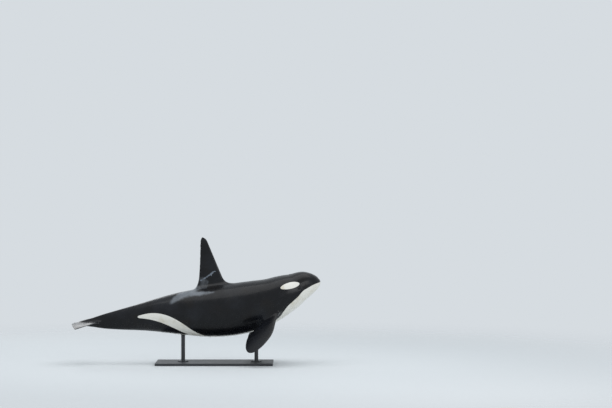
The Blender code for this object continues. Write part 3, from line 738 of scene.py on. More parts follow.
@dataclass
class Eyelids:
    """The right eye's lids: a shell round the ball, open in a lens shape, with creases above and below."""

    station: float = 0.089
    level: float = 0.001
    ball: float = 0.028
    depth: float = 0.020
    shell: float = 0.0304
    half_length: float = 0.0215
    upper: float = 0.0110
    lower: float = 0.0085
    sunk: float = 0.0258
    rim: float = 0.0013
    creases: tuple[tuple[float, float, float], ...] = (
        (0.0075, 0.0014, 1.0),
        (0.0125, 0.0008, 1.0),
        (0.0070, 0.0010, -1.0),
        (0.0120, 0.0006, -1.0),
    )

    def angle(self, body: Body) -> float:
        """The eye's angle round the section."""
        back, belly = (float(body.profile(c, self.station)) for c in (Column.BACK, Column.BELLY))
        up = (self.level * body.length - (back + belly) / 2) / ((back - belly) / 2)
        fullness = float(body.profile(Column.FULLNESS, self.station))
        return math.acos(math.copysign(abs(up) ** (fullness / 2), up))

    def axes(self, body: Body) -> tuple[Array, Array]:
        """The ball's centre, and the rows forward, up and out of the skin there."""
        angle = self.angle(body)
        shares = np.array((self.station, self.station - 0.01, self.station))
        here, before, above = body.skin(shares, np.array((angle, angle, angle - 0.05)))
        ahead = (before - here) / np.linalg.norm(before - here)
        across = np.cross(ahead, above - here)
        out = across / np.linalg.norm(across) * (1 if across[1] < 0 else -1)
        return here - out * self.depth, np.array((ahead, np.cross(out, ahead), out))

    def measure(self, body: Body, points: Array) -> tuple[Array, Array, Array, Array]:
        """How points stand to the eye.

        Args:
            body: the animal's form.
            points: posed points of the right side.

        Returns:
            The distance from the ball's centre, the direction, the height over the eye's axis along the ball,
            and the distance outside the opening, which is negative inside it.
        """
        centre, axes = self.axes(body)
        offset = points - centre
        distance = np.linalg.norm(offset, axis=-1)
        turned = offset @ axes.T / np.maximum(1e-6, distance)[:, None] * self.ball
        high = np.where(turned[:, 1] > 0, self.upper, self.lower)
        lens = np.abs(turned[:, 1]) / high + (turned[:, 0] / self.half_length) ** 2 - 1
        slope = np.hypot(1 / high, 2 * turned[:, 0] / self.half_length**2)
        outside = np.where(turned[:, 2] > 0, lens / slope, FAR)
        return distance, offset / np.maximum(1e-6, distance)[:, None], turned[:, 1], outside

    def spacing(self, body: Body, points: Array) -> Array:
        """Finest at the opening's rim."""
        distance, _, _, outside = self.measure(body, points)
        flat = np.sqrt(np.maximum(0, distance**2 - self.depth**2))
        near = fine_near(flat, 0.0016, 0.030, 0.12, 0.12)
        return np.where((np.abs(outside) < 0.0028) & (flat < 0.05), 0.0008, near)

    def shape(self, body: Body, points: Array) -> Array:
        """Moves the points round the eye out to the lids' shell, or under the ball in the opening."""
        centre, _ = self.axes(body)
        distance, direction, high, outside = self.measure(body, points)
        blend = 0.003
        share = np.clip(0.5 + 0.5 * (self.shell - distance) / blend, 0, 1)
        lids = distance * (1 - share) + self.shell * share + blend * share * (1 - share)
        for place, depth, side in self.creases:
            there = smooth_step(high * side / 0.003)
            lids -= depth * bell(outside - place, 0.0016) * there * smooth_step((0.05 - distance) / 0.015)
        open_share = smooth_step((outside + self.rim) / (2 * self.rim))
        radius = self.sunk + (lids - self.sunk) * open_share
        near = (distance < 0.075) & (outside < FAR)
        return np.where(near[:, None], centre + direction * radius[:, None], points)

    def inner(self, body: Body, points: Array) -> Array:
        """Where the lids' wet inner edge is painted dark, from 0 to 1, with painted shade inside the opening."""
        distance, _, _, outside = self.measure(body, points)
        return smooth_step((0.0016 - outside) / 0.0012) * (distance < 0.05)


@dataclass
class Loft:
    """The right half of the skin, from the middle plane outwards, with the fins grown out of patches of it.

    It is laid out in code, since each vertex is a place on a section of the body or of a fin.
    """

    body: Body
    dorsal: DorsalFin
    flipper: Flipper
    half_sides: int = 60
    dorsal_sides: tuple[int, int] = (0, 6)
    flipper_sides: tuple[int, int] = (39, 45)
    snout_rings: tuple[float, ...] = (0.3, 0.6)
    head_rings: int = 90
    runs: tuple[tuple[float, int], ...] = ((0.265, 18), (0.340, 14), (0.522, 32), (0.895, 58), (1.0, 44))
    corner_pull: float = 0.4
    flipper_rings: int = 13
    flipper_turns: int = 90
    dorsal_rings: int = 7
    dorsal_turns: int = 24
    fluke_zone: tuple[float, float] = (0.875, 0.955)
    fluke_turns: int = 16

    def __post_init__(self) -> None:
        """Lays out all the vertices and faces."""
        self.shares = self.ring_shares()
        self.points = np.zeros((0, 3))
        self.places = np.zeros((0, 4))  # share, angle, how far out along a fin, and 1 where relaxed
        self.faces: list[tuple[int, ...]] = []
        self.build_body()
        self.even_flukes()
        self.grow_dorsal()
        self.grow_flipper()

    def ring_shares(self) -> list[float]:
        """Shares of the length at which the body has rings, finest at the snout."""
        end = self.flipper.root[0]
        shares = [end * (i / self.head_rings) ** 2 for i in (*self.snout_rings, *range(1, self.head_rings + 1))]
        for end, count in self.runs:
            start = shares[-1]
            shares += [start + (end - start) * (i + 1) / count for i in range(count)]
        return shares

    def ring_at(self, share: float) -> int:
        """The number of the ring nearest to a share of the length."""
        return min(range(len(self.shares)), key=lambda i: abs(self.shares[i] - share))

    def patches(self) -> list[tuple[int, int, int, int]]:
        """The grid ranges that the fins' roots take: first ring, last ring, first side, last side."""
        roots = (self.dorsal.root, self.dorsal_sides), (self.flipper.root, self.flipper_sides)
        return [(self.ring_at(root[0]), self.ring_at(root[1]), *sides) for root, sides in roots]

    def place(self, ring: int, side: int) -> tuple[float, float, float, float]:
        """The share and angle of a grid vertex. The corners of a fin's patch are drawn in."""
        share, turn = self.shares[ring], float(side)
        for first, last, top, low in self.patches():
            if ring in (first, last) and side in (top, low) and side:
                pull = self.corner_pull * (self.shares[first + 1] - self.shares[first])
                share += pull if ring == first else -pull
                turn += self.corner_pull if side == top else -self.corner_pull
        return share, math.pi * turn / self.half_sides, 0.0, 0.0

    def add(self, points: Array, places: Array) -> Array:
        """Adds vertices and returns their numbers."""
        start = len(self.points)
        self.points = np.concatenate((self.points, points))
        self.places = np.concatenate((self.places, places))
        return np.arange(start, len(self.points))

    def build_body(self) -> None:
        """The body's rings, open under each fin, with a fan at the snout and a seam behind the flukes."""
        patches, sides = self.patches(), self.half_sides
        cells = [(ring, side) for ring in range(len(self.shares)) for side in range(sides + 1)]
        cells = [
            (ring, side)
            for ring, side in cells
            if not any(a < ring < b and (c < side < d or c == side == 0) for a, b, c, d in patches)
        ]
        places = np.array([self.place(ring, side) for ring, side in cells])
        numbers = self.add(self.body.skin(places[:, 0], places[:, 1]), places)
        self.grid = dict(zip(cells, numbers))
        for ring in range(len(self.shares) - 1):
            for side in range(sides):
                if any(a <= ring < b and c <= side < d for a, b, c, d in patches):
                    continue
                corners = (ring, side), (ring, side + 1), (ring + 1, side + 1), (ring + 1, side)
                self.faces.append(tuple(self.grid[c] for c in corners))
        tip = np.zeros((1, 4))
        snout = self.add(self.body.skin(tip[:, 0], tip[:, 1]), tip)[0]
        self.faces += [(snout, self.grid[0, side + 1], self.grid[0, side]) for side in range(sides)]
        rear = [self.grid[len(self.shares) - 1, side] for side in range(sides + 1)]
        self.seam(rear[: sides // 2 + 1], rear[: sides // 2 - 1 : -1])

    def seam(self, upper: Sequence[int], lower: Sequence[int]) -> None:
        """Closes the slit between two rows of vertices that meet at an end."""
        for (a, b), (c, d) in zip(zip(upper, upper[1:]), zip(lower, lower[1:])):
            self.faces.append(tuple(dict.fromkeys((a, b, d, c))))

    def grow(
        self,
        loop: list[int],
        frame_of_fin: Matrix,
        section_of: Callable[[float], Array],
        stations: Array,
        steps: int,
    ) -> list[int]:
        """Grows a fin from its root loop.

        Args:
            loop: the numbers of the root's vertices.
            frame_of_fin: the fin's frame.
            section_of: gives the fin's points for the loop at a share of its height.
            stations: the shares at which it has rings, from the top of the fairing.
            steps: the rings of the fairing.

        Returns:
            The numbers of the last ring.
        """
        to_pose, to_fin = np.array(frame_of_fin), np.array(frame_of_fin.inverted())
        roots = self.points[loop] @ to_fin[:3, :3].T + to_fin[:3, 3]
        feet, tops = section_of(0.0), section_of(float(stations[0]))
        ones = np.ones((len(loop), 1))
        plane = np.linalg.lstsq(np.hstack((ones, roots[:, :2])), roots[:, 2], rcond=None)[0]
        feet[:, 2] = np.hstack((ones, feet[:, :2])) @ plane
        runs = np.arange(1, steps + 1) / steps
        rings = [(roots * (1 - u) ** 2 + feet * 2 * u * (1 - u) + tops * u * u, u * stations[0]) for u in runs]
        rings += [(section_of(float(share)), share) for share in stations[1:]]
        closed = np.abs(self.points[[loop[0], loop[-1]], 1]).max() > 1e-6
        count = len(loop)
        root_places = self.places[loop]
        for points, out in rings:
            places = root_places.copy()
            places[:, 2] = out
            made = list(self.add(points @ to_pose[:3, :3].T + to_pose[:3, 3], places))
            for i in range(count if closed else count - 1):
                j = (i + 1) % count
                self.faces.append((loop[i], loop[j], made[j], made[i]))
            loop = made
        return loop

    def grow_dorsal(self) -> None:
        """The dorsal fin's right half, from the strip of skin along the back, and closed at its tip."""
        first, last, _, side = self.patches()[0]
        route = [(first, j) for j in range(side)] + [(i, side) for i in range(first, last + 1)]
        route += [(last, j) for j in range(side - 1, -1, -1)]
        loop = [self.grid[c] for c in reversed(route)]
        place = (1 - np.cos(np.pi * np.arange(len(loop))[::-1] / (len(loop) - 1))) / 2
        fin = self.dorsal

        def section_of(share: float) -> Array:
            """The fin's points for the loop."""
            return fin.section(share, place)

        end = self.grow(loop, fin.frame(self.body), section_of, fin.stations(), fin.fairing_steps)
        middle = self.points[end[1:-1]] * (1, 0, 1)
        inner = [end[0], *self.add(middle, self.places[end[1:-1]]), end[-1]]
        for i in range(len(end) - 1):
            corners = tuple(dict.fromkeys((end[i], end[i + 1], inner[i + 1], inner[i])))
            if len(corners) > 2:
                self.faces.append(corners)
        self.relax(self.around(loop, self.dorsal_rings), self.dorsal_turns)

    def even_flukes(self) -> None:
        """Rounds the corners where the tail runs out into the flukes."""
        share, out = self.places[:, 0], self.places[:, 2]
        root, (start, end) = self.body.flukes.root, self.fluke_zone
        strength = smooth_step((share - start) / (root - start)) * smooth_step((end - share) / (end - root))
        self.relax(strength * (out == 0), self.fluke_turns)

    def grow_flipper(self) -> None:
        """The right flipper: upper and lower faces from one section, closed by a seam at the tip."""
        first, last, top, low = self.patches()[1]
        middle = (top + low) // 2
        route = [(first, j) for j in range(middle, top, -1)] + [(i, top) for i in range(first, last)]
        route += [(last, j) for j in range(top, low)] + [(i, low) for i in range(last, first, -1)]
        route += [(first, j) for j in range(low, middle, -1)]
        loop = [self.grid[c] for c in route]
        half = last - first + 2 * (middle - top)
        steps = np.arange(len(loop))
        side = np.where(steps <= half, 1, -1)
        place = (1 - np.cos(np.pi * np.where(steps <= half, steps, 2 * half - steps) / half)) / 2
        fin = self.flipper

        def section_of(share: float) -> Array:
            """The flipper's points for the loop."""
            return fin.section(share, place, side)

        end = self.grow(loop, fin.frame(self.body), section_of, fin.stations(), fin.fairing_steps)
        self.seam(end[: half + 1], [end[0], *reversed(end[half:])])
        self.relax(self.around(loop, self.flipper_rings), self.flipper_turns)

    def edges(self) -> tuple[Array, Array]:
        """Both ends of every edge."""
        pairs = {tuple(sorted(pair)) for f in self.faces for pair in zip(f, (*f[1:], f[0]))}
        a, b = np.array(sorted(pairs)).T
        return a, b

    def around(self, loop: list[int], rings: int) -> Array:
        """A strength for each vertex: 1 on a root loop, and less for each ring away from it."""
        a, b = self.edges()
        strength = np.zeros(len(self.points))
        strength[loop] = 1.0
        for _ in range(rings):
            reach = np.maximum(strength[a], strength[b]) - 1 / rings
            np.maximum.at(strength, a, reach)
            np.maximum.at(strength, b, reach)
        return strength

    def relax(self, strength: Array, turns: int) -> None:
        """Evens out the skin: at each turn a vertex moves towards the middle of its neighbours.

        Args:
            strength: how far each vertex takes part, from 0 to 1.
            turns: how often that happens.
        """
        a, b = self.edges()
        ends, others = np.concatenate((a, b)), np.concatenate((b, a))
        near = strength > 0
        ends, others = ends[near[ends]], others[near[ends]]
        in_plane = np.abs(self.points[:, 1]) < 1e-6
        # A vertex in the middle plane has each neighbour outside it a second time, on the other side.
        weight = np.where(in_plane[ends] & ~in_plane[others], 2.0, 1.0)
        total = np.bincount(ends, weight, len(near))[near, None]
        share = 0.5 * strength[near, None]
        for _ in range(turns):
            sums = [np.bincount(ends, weight * self.points[others, k], len(near))[near] for k in range(3)]
            self.points[near] += share * (np.stack(sums, 1) / total - self.points[near])
            self.points[in_plane, 1] = 0.0
        self.places[near, 3] = 1.0

    def mesh(self) -> bmesh.types.BMesh:
        """The half skin as a mesh whose vertices keep their places in layers."""
        mesh = bmesh.new()
        layers = [mesh.verts.layers.float.new(name) for name in ("share", "angle", "out", "loose")]
        made = [mesh.verts.new(point) for point in self.points]
        for vertex, place in zip(made, self.places):
            for layer, value in zip(layers, place):
                vertex[layer] = value
        for corners in self.faces:
            mesh.faces.new([made[i] for i in corners])
        mesh.verts.index_update()
        return mesh


@dataclass
class Hide:
    """The finished skin: the loft made finer where it has detail, then given that detail and its markings."""

    body: Body
    loft: Loft
    features: tuple[Feature, ...]
    eyelids: Eyelids
    passes: int = 6
    bodily: tuple[tuple[float, float], ...] = ((0.45, 0.0030), (0.13, 0.0010))

    def read(self, mesh: bmesh.types.BMesh) -> tuple[Place, Array, Array]:
        """Where the vertices are, and which are on the body, and which of those follow its sections."""
        layers = [mesh.verts.layers.float[name] for name in ("share", "angle", "out", "loose")]
        share, angle, out, loose = np.array([[v[layer] for layer in layers] for v in mesh.verts]).T
        straight = self.body.section(share, angle)
        posed = np.array([v.co[:] for v in mesh.verts])
        behind = share * self.body.length
        place = Place(share, angle, behind, np.abs(straight[:, 1]), straight[:, 2], posed)
        on_body = (out < 1e-6) & (share < self.body.flukes.root)
        return place, on_body, on_body & (loose < 1e-6)

    def refine(self, mesh: bmesh.types.BMesh) -> None:
        """Splits the edges that are too long for the detail there."""
        tip = self.loft.shares[len(self.loft.snout_rings)]
        for _ in range(self.passes):
            place, on_body, _ = self.read(mesh)
            wanted = [feature.spacing(place) for feature in self.features]
            wanted.append(self.eyelids.spacing(self.body, place.posed))
            wanted = np.where(on_body & (place.share > tip), np.min(wanted, 0), FAR)
            mesh.verts.index_update()
            edges = [
                e for e in mesh.edges if e.calc_length() > 0.75 * sum(wanted[v.index] for v in e.verts)
            ]
            if not edges:
                break
            bmesh.ops.subdivide_edges(mesh, edges=edges, cuts=1, use_grid_fill=True)
            many_sided = [f for f in mesh.faces if len(f.verts) > 4]
            bmesh.ops.triangulate(mesh, faces=many_sided)
            self.settle(mesh)

    def settle(self, mesh: bmesh.types.BMesh) -> None:
        """Puts the body's vertices exactly on its sections."""
        place, _, settled = self.read(mesh)
        points = self.body.skin(place.share, place.angle)
        for vertex, point, there in zip(mesh.verts, points, settled):
            if there:
                vertex.co = point

    def normals(self, place: Place) -> Array:
        """The straight body's outward directions."""
        step = np.minimum(1e-4, place.share / 4 + 1e-9)
        rows = []
        for shift, turn in ((step, 0.0), (0.0, 1e-3)):
            ends = [self.body.section(place.share + k * shift, place.angle + k * turn) for k in (1, -1)]
            ends[0][:, 0] -= 2 * step * self.body.length * (turn == 0.0)
            rows.append(ends[0] - ends[1])
        out = np.cross(*rows)
        length = np.linalg.norm(out, axis=1, keepdims=True)
        return np.where(length > 1e-12, out / np.maximum(1e-12, length), (1.0, 0.0, 0.0))

    def shape(self, mesh: bmesh.types.BMesh) -> None:
        """Moves the vertices of the head and body by the features, and the lids' out to their shell."""
        place, on_body, _ = self.read(mesh)
        local = self.body.section(place.share, place.angle)
        rise = np.sum([feature.rise(place) for feature in self.features], 0)
        moved = self.body.pose(place.share, local + self.normals(place) * rise[:, None])
        points = place.posed + np.where(on_body[:, None], moved - self.body.pose(place.share, local), 0)
        points = np.where(on_body[:, None], self.eyelids.shape(self.body, points), points)
        points[np.abs(place.posed[:, 1]) < 1e-5, 1] = 0.0
        for vertex, point in zip(mesh.verts, points):
            vertex.co = point

    def inner(self, mesh: bmesh.types.BMesh) -> None:
        """Marks the insides of the lips, lids and blowhole, which are painted dark: wet skin, and painted shade in
        the slits.
        """
        place, on_body, _ = self.read(mesh)
        marks = [feature.inner(place) for feature in self.features if hasattr(feature, "inner")]
        marks.append(self.eyelids.inner(self.body, place.posed))
        layer = mesh.verts.layers.float.new("inner")
        for vertex, value in zip(mesh.verts, np.max(marks, 0) * on_body):
            vertex[layer] = value

    def build(self) -> bpy.types.Object:
        """Builds the whole skin, mirrored, with slight unevenness that isn't."""
        half = self.loft.mesh()
        self.refine(half)
        self.shape(half)
        self.inner(half)
        bmesh.ops.recalc_face_normals(half, faces=half.faces)
        mesh = bpy.data.meshes.new("orca_skin")
        half.to_mesh(mesh)
        half.free()
        skin = bpy.data.objects.new("orca_skin", mesh)
        bpy.context.scene.collection.objects.link(skin)
        mirror = skin.modifiers.new("Mirror", "MIRROR")
        mirror.use_axis = (False, True, False)
        mirror.merge_threshold = 0.00005
        select(skin)
        bpy.ops.object.modifier_apply(modifier=mirror.name)
        self.unevenness(skin.data)
        skin.data.shade_smooth()
        return skin

    def unevenness(self, mesh: bpy.types.Mesh) -> None:
        """Slow swells of a living body, a few millimetres deep, different on the two sides."""
        points, normals = read_vectors(mesh.vertices, "co"), read_vectors(mesh.vertices, "normal")
        out, share, angle = (read_floats(mesh, name) for name in ("out", "share", "angle"))
        centre, _ = self.eyelids.axes(self.body)
        folded = np.stack((points[:, 0], -np.abs(points[:, 1]), points[:, 2]), 1)
        near_eye = np.linalg.norm(folded - centre, axis=1)
        calm = smooth_step((near_eye - 0.06) / 0.1) * (1 - smooth_step(out / 0.2) * 0.7)
        rise = np.zeros(len(points))
        for number, (size, height) in enumerate(self.bodily):
            shift = Vector((3.7 * number, 1.3, 8.1))
            rise += [height * noise.noise(Vector(p) / size + shift) for p in points]
        points += normals * (rise * calm)[:, None]
        mesh.vertices.foreach_set("co", points.ravel())
        mesh.update()

def smooth_union(first: Array, second: Array, blend: float) -> Array:
    """The larger of two distances, with a rounded corner between them."""
    share = np.clip(0.5 + 0.5 * (first - second) / blend, 0, 1)
    return second * (1 - share) + first * share + blend * share * (1 - share)


def inside_chain(x: Array, y: Array, chain: Sequence[tuple[float, float, float]]) -> Array:
    """How far points are inside a chain of discs that swell and shrink.

    Args:
        x: the points' first coordinate.
        y: the points' second coordinate.
        chain: (x, y, radius) of the discs.

    Returns:
        The distance inside the outline, negative outside.
    """
    best = np.full_like(x, -FAR)
    for (ax, ay, ar), (bx, by, br) in zip(chain, chain[1:]):
        run = (bx - ax) ** 2 + (by - ay) ** 2
        t = np.clip(((x - ax) * (bx - ax) + (y - ay) * (by - ay)) / run, 0, 1)
        distance = np.hypot(x - ax - t * (bx - ax), y - ay - t * (by - ay))
        best = np.maximum(best, ar + (br - ar) * t - distance)
    return best


def smooth_chain(discs: Sequence[tuple[float, float, float]], count: int = 24) -> list[tuple[float, float, float]]:
    """More discs, on a smooth line through a few."""
    steps, at = np.arange(len(discs)), np.linspace(0, len(discs) - 1, count)
    columns = [smooth_curve(list(zip(steps, column)))(at) for column in zip(*discs)]
    return [tuple(float(value) for value in disc) for disc in zip(*columns)]


@dataclass
class Markings:
    """The white and grey of the hide, as distances inside each patch's outline on the unrolled skin.

    Places are shares of the length behind the snout. Turns are shares of the way from the middle of the belly
    up to the middle of the back.
    """

    body: Body
    mouth: Mouth
    dorsal: DorsalFin
    lip_edge: float = 0.007
    throat: Knots = (
        (0.060, 0.4115),
        (0.068, 0.4120),
        (0.076, 0.4085),
        (0.088, 0.3930),
        (0.102, 0.3720),
        (0.130, 0.3370),
        (0.160, 0.295),
        (0.185, 0.225),
        (0.210, 0.160),
        (0.260, 0.115),
        (0.350, 0.095),
        (0.450, 0.105),
        (0.500, 0.120),
    )
    prong: Knots = ((0.48, 0.16), (0.56, 0.15), (0.64, 0.11), (0.70, 0.03), (0.72, -0.06))
    flank: tuple[tuple[float, float, float], ...] = (
        (0.500, 0.06, 0.120),
        (0.545, 0.19, 0.130),
        (0.590, 0.32, 0.135),
        (0.640, 0.43, 0.125),
        (0.690, 0.50, 0.090),
        (0.742, 0.53, 0.034),
    )
    flank_blend: float = 0.07
    eye_patch: tuple[float, float] = (0.1195, 0.0195)
    eye_patch_half: tuple[float, float] = (0.243, 0.080)
    eye_patch_tilt: float = 7.0
    fluke_rim: float = 0.055

    def unroll(self, share: Array, angle: Array) -> tuple[Array, Array]:
        """Metres behind the snout, and metres up from the middle of the belly."""
        return share * self.body.length, (1 - angle / np.pi) * self.body.half_girth(share)

    def chain(self, discs: Iterable[tuple[float, float, float]]) -> list[tuple[float, float, float]]:
        """A chain of discs from (place, turn, radius) to metres."""
        girth = self.body.half_girth
        metres = [(s * self.body.length, turn * float(girth(np.float64(s))), r) for s, turn, r in discs]
        return smooth_chain(metres)

    def white(self, share: Array, angle: Array, out: Array) -> Array:
        """How far inside the white of the throat, belly and flanks."""
        behind, up = self.unroll(share, angle)
        girth = self.body.half_girth(share)
        edge = smooth_curve(self.throat)
        step = 0.004
        rise = (edge(share + step) - edge(share - step)) * girth / (2 * step * self.body.length)
        band = (edge(share) * girth - up) / np.hypot(1, rise)
        straight = self.body.section(share, angle)
        below_lip = self.mouth.level(share) * self.body.length - straight[:, 2] - self.lip_edge
        back_of_lip = smooth_step((share - 0.060) / 0.014)
        front = below_lip * (1 - back_of_lip) + band * back_of_lip
        front -= smooth_step((share - 0.46) / 0.08) * 0.8
        middle = smooth_curve(self.prong)(share) - up - FAR * (share < 0.47)
        lobe = inside_chain(behind, up, self.chain(self.flank))
        belly = smooth_union(np.maximum(front, middle), lobe, self.flank_blend)
        return belly - np.minimum(0.4, 2 * out)

    def beside_eye(self, share: Array, angle: Array, out: Array) -> Array:
        """How far inside the white patch behind the eye."""
        straight = self.body.section(share, angle)
        ahead = (self.eye_patch[0] - share) * self.body.length
        high = straight[:, 2] - self.eye_patch[1] * self.body.length
        tilt = math.radians(self.eye_patch_tilt)
        along = ahead * math.cos(tilt) - high * math.sin(tilt)
        across = ahead * math.sin(tilt) + high * math.cos(tilt)
        half_long, half_high = self.eye_patch_half
        half_high = half_high * (1 + 0.08 * along / half_long - 0.10 * (along / half_long) ** 2)
        ratio = np.hypot(along / half_long, across / half_high)
        slope = np.hypot(along / half_long**2, across / half_high**2)
        inside = -ratio * (ratio - 1) / np.maximum(1e-6, slope)
        return np.where((share < 0.2) & (out < 1e-6), np.maximum(-1, inside), -1.0)

    def under_flukes(self, share: Array, angle: Array) -> Array:
        """How far inside the white of the flukes' undersides."""
        y, front, rear, chord = self.body.fluke_plan(np.maximum(share, self.body.flukes.root), angle)
        behind = front + (rear - front) * chord
        uneven = 0.020 * np.sin(y * 9 + 1) + 0.012 * np.sin(y * 23)
        rim = -smooth_union(front + uneven - behind, (behind - rear) * 0.9 - 0.5 * uneven, 0.09) - self.fluke_rim
        rim = -smooth_union(-rim, y + 0.16 - self.body.flukes.half_span, 0.12)
        rim = -smooth_union(-rim, (0.07 - y) * 1.2 + (0.46 - behind) * 0.55, 0.10)
        under = (share > self.body.flukes.root) & (angle > math.pi / 2 + 1e-3)
        # Worked out at a quarter of its size, which makes its edge four times as soft.
        return np.where(under, np.clip(rim / 4, -0.5, 0.5), -0.5)

    def saddle(self, points: Array, share: Array, angle: Array, out: Array, left: Array) -> Array:
        """How far inside the grey saddle, which starts on the fin's rear foot. The two sides differ."""
        behind, _ = self.unroll(share, angle)
        down = angle / np.pi * self.body.half_girth(share)
        right_side = ((0.500, 0.00, 0.07), (0.528, 0.10, 0.14), (0.556, 0.22, 0.145), (0.584, 0.33, 0.10), (0.606, 0.41, 0.03))
        right_hook = ((0.545, 0.24, 0.10), (0.512, 0.33, 0.080), (0.474, 0.39, 0.050), (0.436, 0.42, 0.012))
        left_side = ((0.502, 0.00, 0.07), (0.532, 0.11, 0.13), (0.560, 0.23, 0.130), (0.582, 0.32, 0.09), (0.598, 0.38, 0.03))
        left_hook = ((0.550, 0.24, 0.09), (0.520, 0.32, 0.070), (0.488, 0.37, 0.045), (0.458, 0.39, 0.012))
        length = self.body.length
        sides = []
        for lobe, hook in ((right_side, right_hook), (left_side, left_hook)):
            chains = [smooth_chain([(s * length, w, r) for s, w, r in chain]) for chain in (lobe, hook)]
            sides.append(smooth_union(*(inside_chain(behind, down, chain) for chain in chains), 0.12))
        body = np.where(left, sides[1], sides[0]) - np.minimum(0.3, 0.9 * out)
        wash = inside_chain(points[:, 0], points[:, 2], ((-0.52, 1.96, 0.09), (-0.33, 2.07, 0.14)))
        return np.maximum(body, np.where(out > 0, np.minimum(-0.018, wash), -1.0))

    def fin_streak(self, points: Array, out: Array, left: Array) -> Array:
        """How far inside the pale streak across the lower rear of the dorsal fin."""
        right_lines = (
            ((-0.366, 2.135, 0.013), (-0.256, 2.200, 0.015), (-0.150, 2.270, 0.016), (-0.080, 2.318, 0.022)),
            ((-0.080, 2.318, 0.022), (-0.032, 2.362, 0.018), (0.030, 2.384, 0.006)),
            ((-0.082, 2.307, 0.012), (-0.084, 2.228, 0.004)),
        )
        left_lines = (((-0.340, 2.165, 0.007), (-0.200, 2.235, 0.014), (-0.060, 2.330, 0.006)),)
        sides = [
            np.max([inside_chain(points[:, 0], points[:, 2], line) for line in lines], 0)
            for lines in (right_lines, left_lines)
        ]
        return np.where(out > 0.01, np.where(left, sides[1], sides[0]), -1.0)

    def unrolled(self, points: Array, share: Array, angle: Array, out: Array) -> Array:
        """Metres along and across the hide, for marks that lie in it, and 0 where one way to count them ends."""
        behind, up = self.unroll(share, angle)
        root = self.body.flukes.root
        fin, flukes = out > 0.02, share > root + 0.012
        along = np.where(fin | flukes, points[:, 0], behind)
        across = np.where(fin, points[:, 2], np.where(flukes, points[:, 1], up * np.sign(points[:, 1])))
        border = ((out > 0.008) & (out < 0.045)) | ((share > root) & (share < root + 0.024))
        border |= np.abs(points[:, 1]) < 0.004
        ahead, high = (share - 0.089) * self.body.length, up / self.body.half_girth(share) - 0.47
        border |= (np.hypot(ahead, high * 1.3) < 0.10) & (share < 0.12)
        return np.stack((along, across, 1.0 - border), 1)

    def mark(self, mesh: bpy.types.Mesh) -> None:
        """Works all of them out for a mesh that keeps its places."""
        share, angle, out = (read_floats(mesh, name) for name in ("share", "angle", "out"))
        points = read_vectors(mesh.vertices, "co")
        left = points[:, 1] > 0
        white = np.maximum(self.white(share, angle, out), self.beside_eye(share, angle, out))
        write_floats(mesh, "white", np.maximum(white, self.under_flukes(share, angle)))
        write_floats(mesh, "saddle", self.saddle(points, share, angle, out, left))
        write_floats(mesh, "streak", self.fin_streak(points, out, left))
        unrolled = mesh.attributes.new("unrolled", "FLOAT_VECTOR", "POINT")
        unrolled.data.foreach_set("vector", self.unrolled(points, share, angle, out).astype(np.float32).ravel())
        for name in ("share", "angle", "out", "loose"):
            mesh.attributes.remove(mesh.attributes[name])


def linear(colour: str) -> tuple[float, float, float, float]:
    """Turns an sRGB hex value to a linear colour."""
    parts = [int(colour[i : i + 2], 16) / 255 for i in (1, 3, 5)]
    red, green, blue = (p / 12.92 if p <= 0.04045 else ((p + 0.055) / 1.055) ** 2.4 for p in parts)
    return red, green, blue, 1.0


def add_node(
    tree: bpy.types.NodeTree, kind: str, inputs: dict[int | str, object] | None = None, **settings: object
) -> bpy.types.Node:
    """Adds a node.

    Args:
        tree: the material's node tree.
        kind: the node's type.
        inputs: what goes into its sockets, by name or number: a value, or another node's output.
        settings: the node's own settings.

    Returns:
        The node.
    """
    node = tree.nodes.new(kind)
    for name, value in settings.items():
        setattr(node, name, value)
    for name, value in (inputs or {}).items():
        if isinstance(value, bpy.types.NodeSocket):
            tree.links.new(value, node.inputs[name])
        else:
            node.inputs[name].default_value = value
    return node


def per_metre(millimetres: float) -> float:
    """A pattern's scale from the size of its features."""
    return 1000 / millimetres


def new_finish(name: str) -> tuple[bpy.types.Material, bpy.types.NodeTree, bpy.types.Node]:
    """An empty material, its tree and its shader."""
    material = bpy.data.materials.new(name)
    material.use_nodes = True
    tree = material.node_tree
    return material, tree, tree.nodes["Principled BSDF"]


